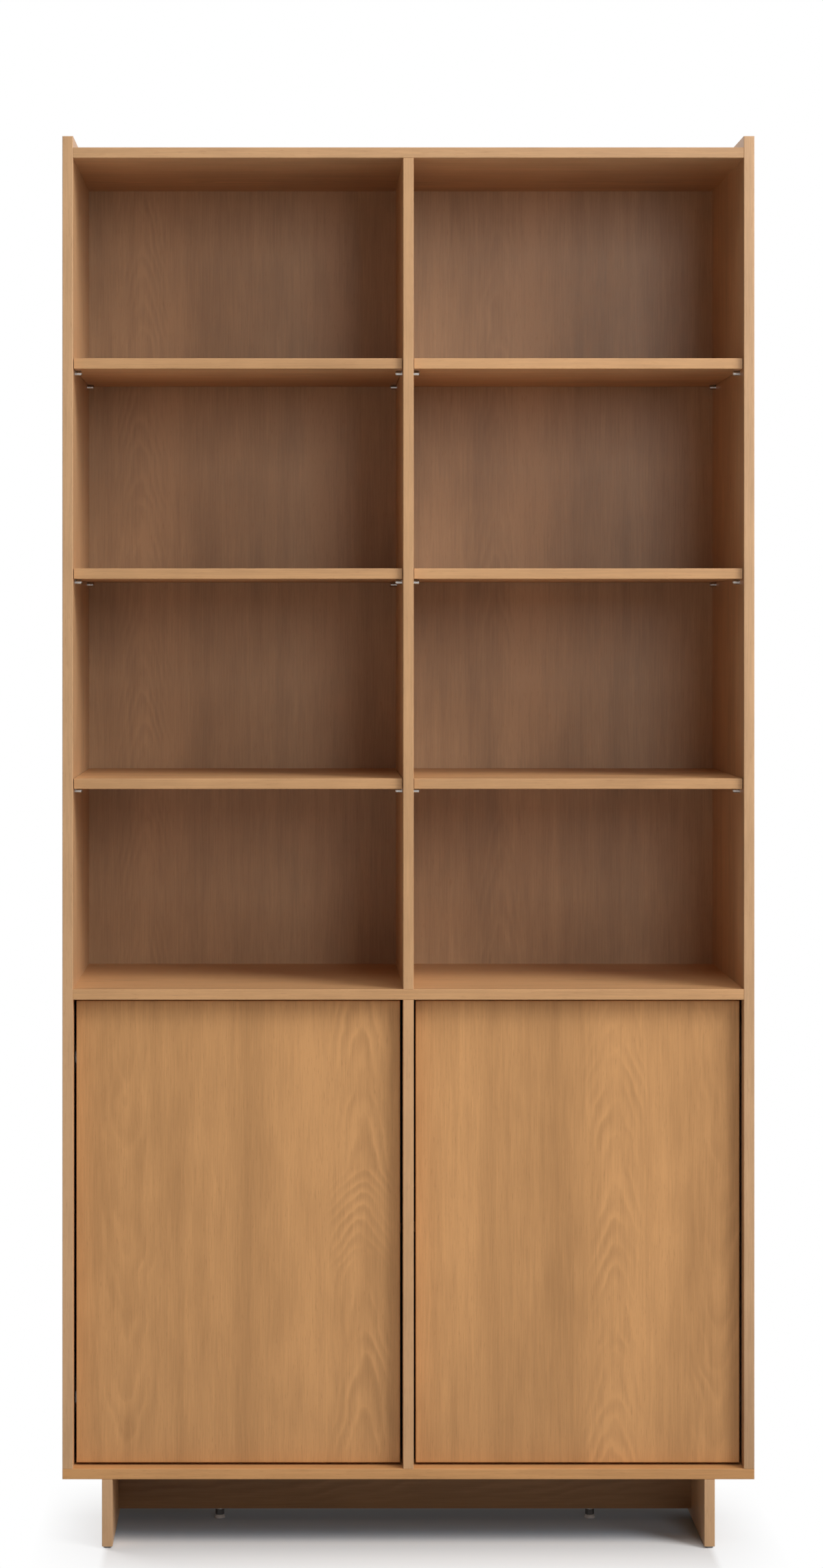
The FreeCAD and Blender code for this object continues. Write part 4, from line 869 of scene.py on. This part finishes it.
def white_world(fill):
    """World that is white where it is seen and gives an even fill light."""
    world = bpy.data.worlds.new("studio")
    world.use_nodes = True
    world.node_tree.nodes.clear()
    output = world.node_tree.nodes.new("ShaderNodeOutputWorld")
    shade = Shade(world.node_tree)
    even = shade.make("ShaderNodeBackground", None, {"Color": (1, 1, 1, 1), "Strength": fill})
    white = shade.make("ShaderNodeBackground", None, {"Color": (1, 1, 1, 1), "Strength": 1.0})
    sockets = {0: seen_rays(shade), 1: even, 2: white}
    close_shader(shade, output, shade.make("ShaderNodeMixShader", None, sockets))
    return world


class BOOKCASE_OT_stage(bpy.types.Operator):
    """Sets up the pale floor, the soft lamps and the camera"""

    bl_idname = "bookcase.stage"
    bl_label = "Stage"

    def execute(self, context):
        stage = context.scene.bookcase_stage
        scene = context.scene
        scene.view_settings.view_transform = "Standard"
        scene.world = white_world(stage.fill)

        corners = np.array([[-1, -1, 0], [1, -1, 0], [1, 1, 0], [-1, 1, 0]]) * FLOOR_REACH
        mesh = bpy.data.meshes.new("floor")
        mesh.from_pydata(corners.tolist(), [], [[0, 1, 2, 3]])
        mesh.materials.append(floor_material(stage))
        floor = bpy.data.objects.new("floor", mesh)
        scene.collection.objects.link(floor)

        middle_height = Vector((0, 0, (CAD_BOX[0].z + CAD_BOX[1].z) / 2))
        for name in LAMPS:
            place = Vector(getattr(stage, f"{name}_place"))
            lamp = bpy.data.lights.new(f"{name}_light", "AREA")
            lamp.shape = "RECTANGLE"
            lamp.size, lamp.size_y = getattr(stage, f"{name}_size")
            lamp.energy = getattr(stage, f"{name}_power")
            soft_box = bpy.data.objects.new(f"{name}_light", lamp)
            soft_box.location = place
            soft_box.rotation_euler = (middle_height - place).to_track_quat("-Z", "Y").to_euler()
            soft_box.visible_camera = False
            soft_box.visible_glossy = name != "rear"
            scene.collection.objects.link(soft_box)

        view = bpy.data.cameras.new("camera")
        view.sensor_width = 36
        view.lens = stage.lens
        view.shift_x, view.shift_y = stage.shift
        camera = bpy.data.objects.new("camera", view)
        camera.location = stage.camera_place
        camera.rotation_euler = Euler((math.pi / 2, 0, 0))
        scene.collection.objects.link(camera)
        scene.camera = camera
        return {"FINISHED"}


# Panel and registration


OPERATORS = (
    BOOKCASE_OT_boards,
    BOOKCASE_OT_hardware,
    BOOKCASE_OT_board_screws,
    BOOKCASE_OT_back_screws,
    BOOKCASE_OT_hinge_screws,
    BOOKCASE_OT_cams,
    BOOKCASE_OT_feet,
    BOOKCASE_OT_stage,
)


class BOOKCASE_PT_panel(bpy.types.Panel):
    """Lists the steps that dress the bookcase"""

    bl_idname = "BOOKCASE_PT_panel"
    bl_label = "Bookcase"
    bl_space_type = "VIEW_3D"
    bl_region_type = "UI"
    bl_category = "Bookcase"

    def draw(self, context):
        for step in OPERATORS:
            self.layout.operator(step.bl_idname)


SETTINGS = {
    "bookcase_oak": OakFinish,
    "bookcase_hardware": HardwareFinish,
    "bookcase_sizes": DetailSizes,
    "bookcase_stage": StageSettings,
}


def register():
    for group in (*SETTINGS.values(), *OPERATORS, BOOKCASE_PT_panel):
        bpy.utils.register_class(group)
    for name, group in SETTINGS.items():
        setattr(bpy.types.Scene, name, PointerProperty(type=group))


def unregister():
    for name in SETTINGS:
        delattr(bpy.types.Scene, name)
    for group in reversed((*SETTINGS.values(), *OPERATORS, BOOKCASE_PT_panel)):
        bpy.utils.unregister_class(group)


def main():
    register()
    for step in OPERATORS:
        family, name = step.bl_idname.split(".")
        getattr(getattr(bpy.ops, family), name)()


if __name__ == "__main__":
    main()
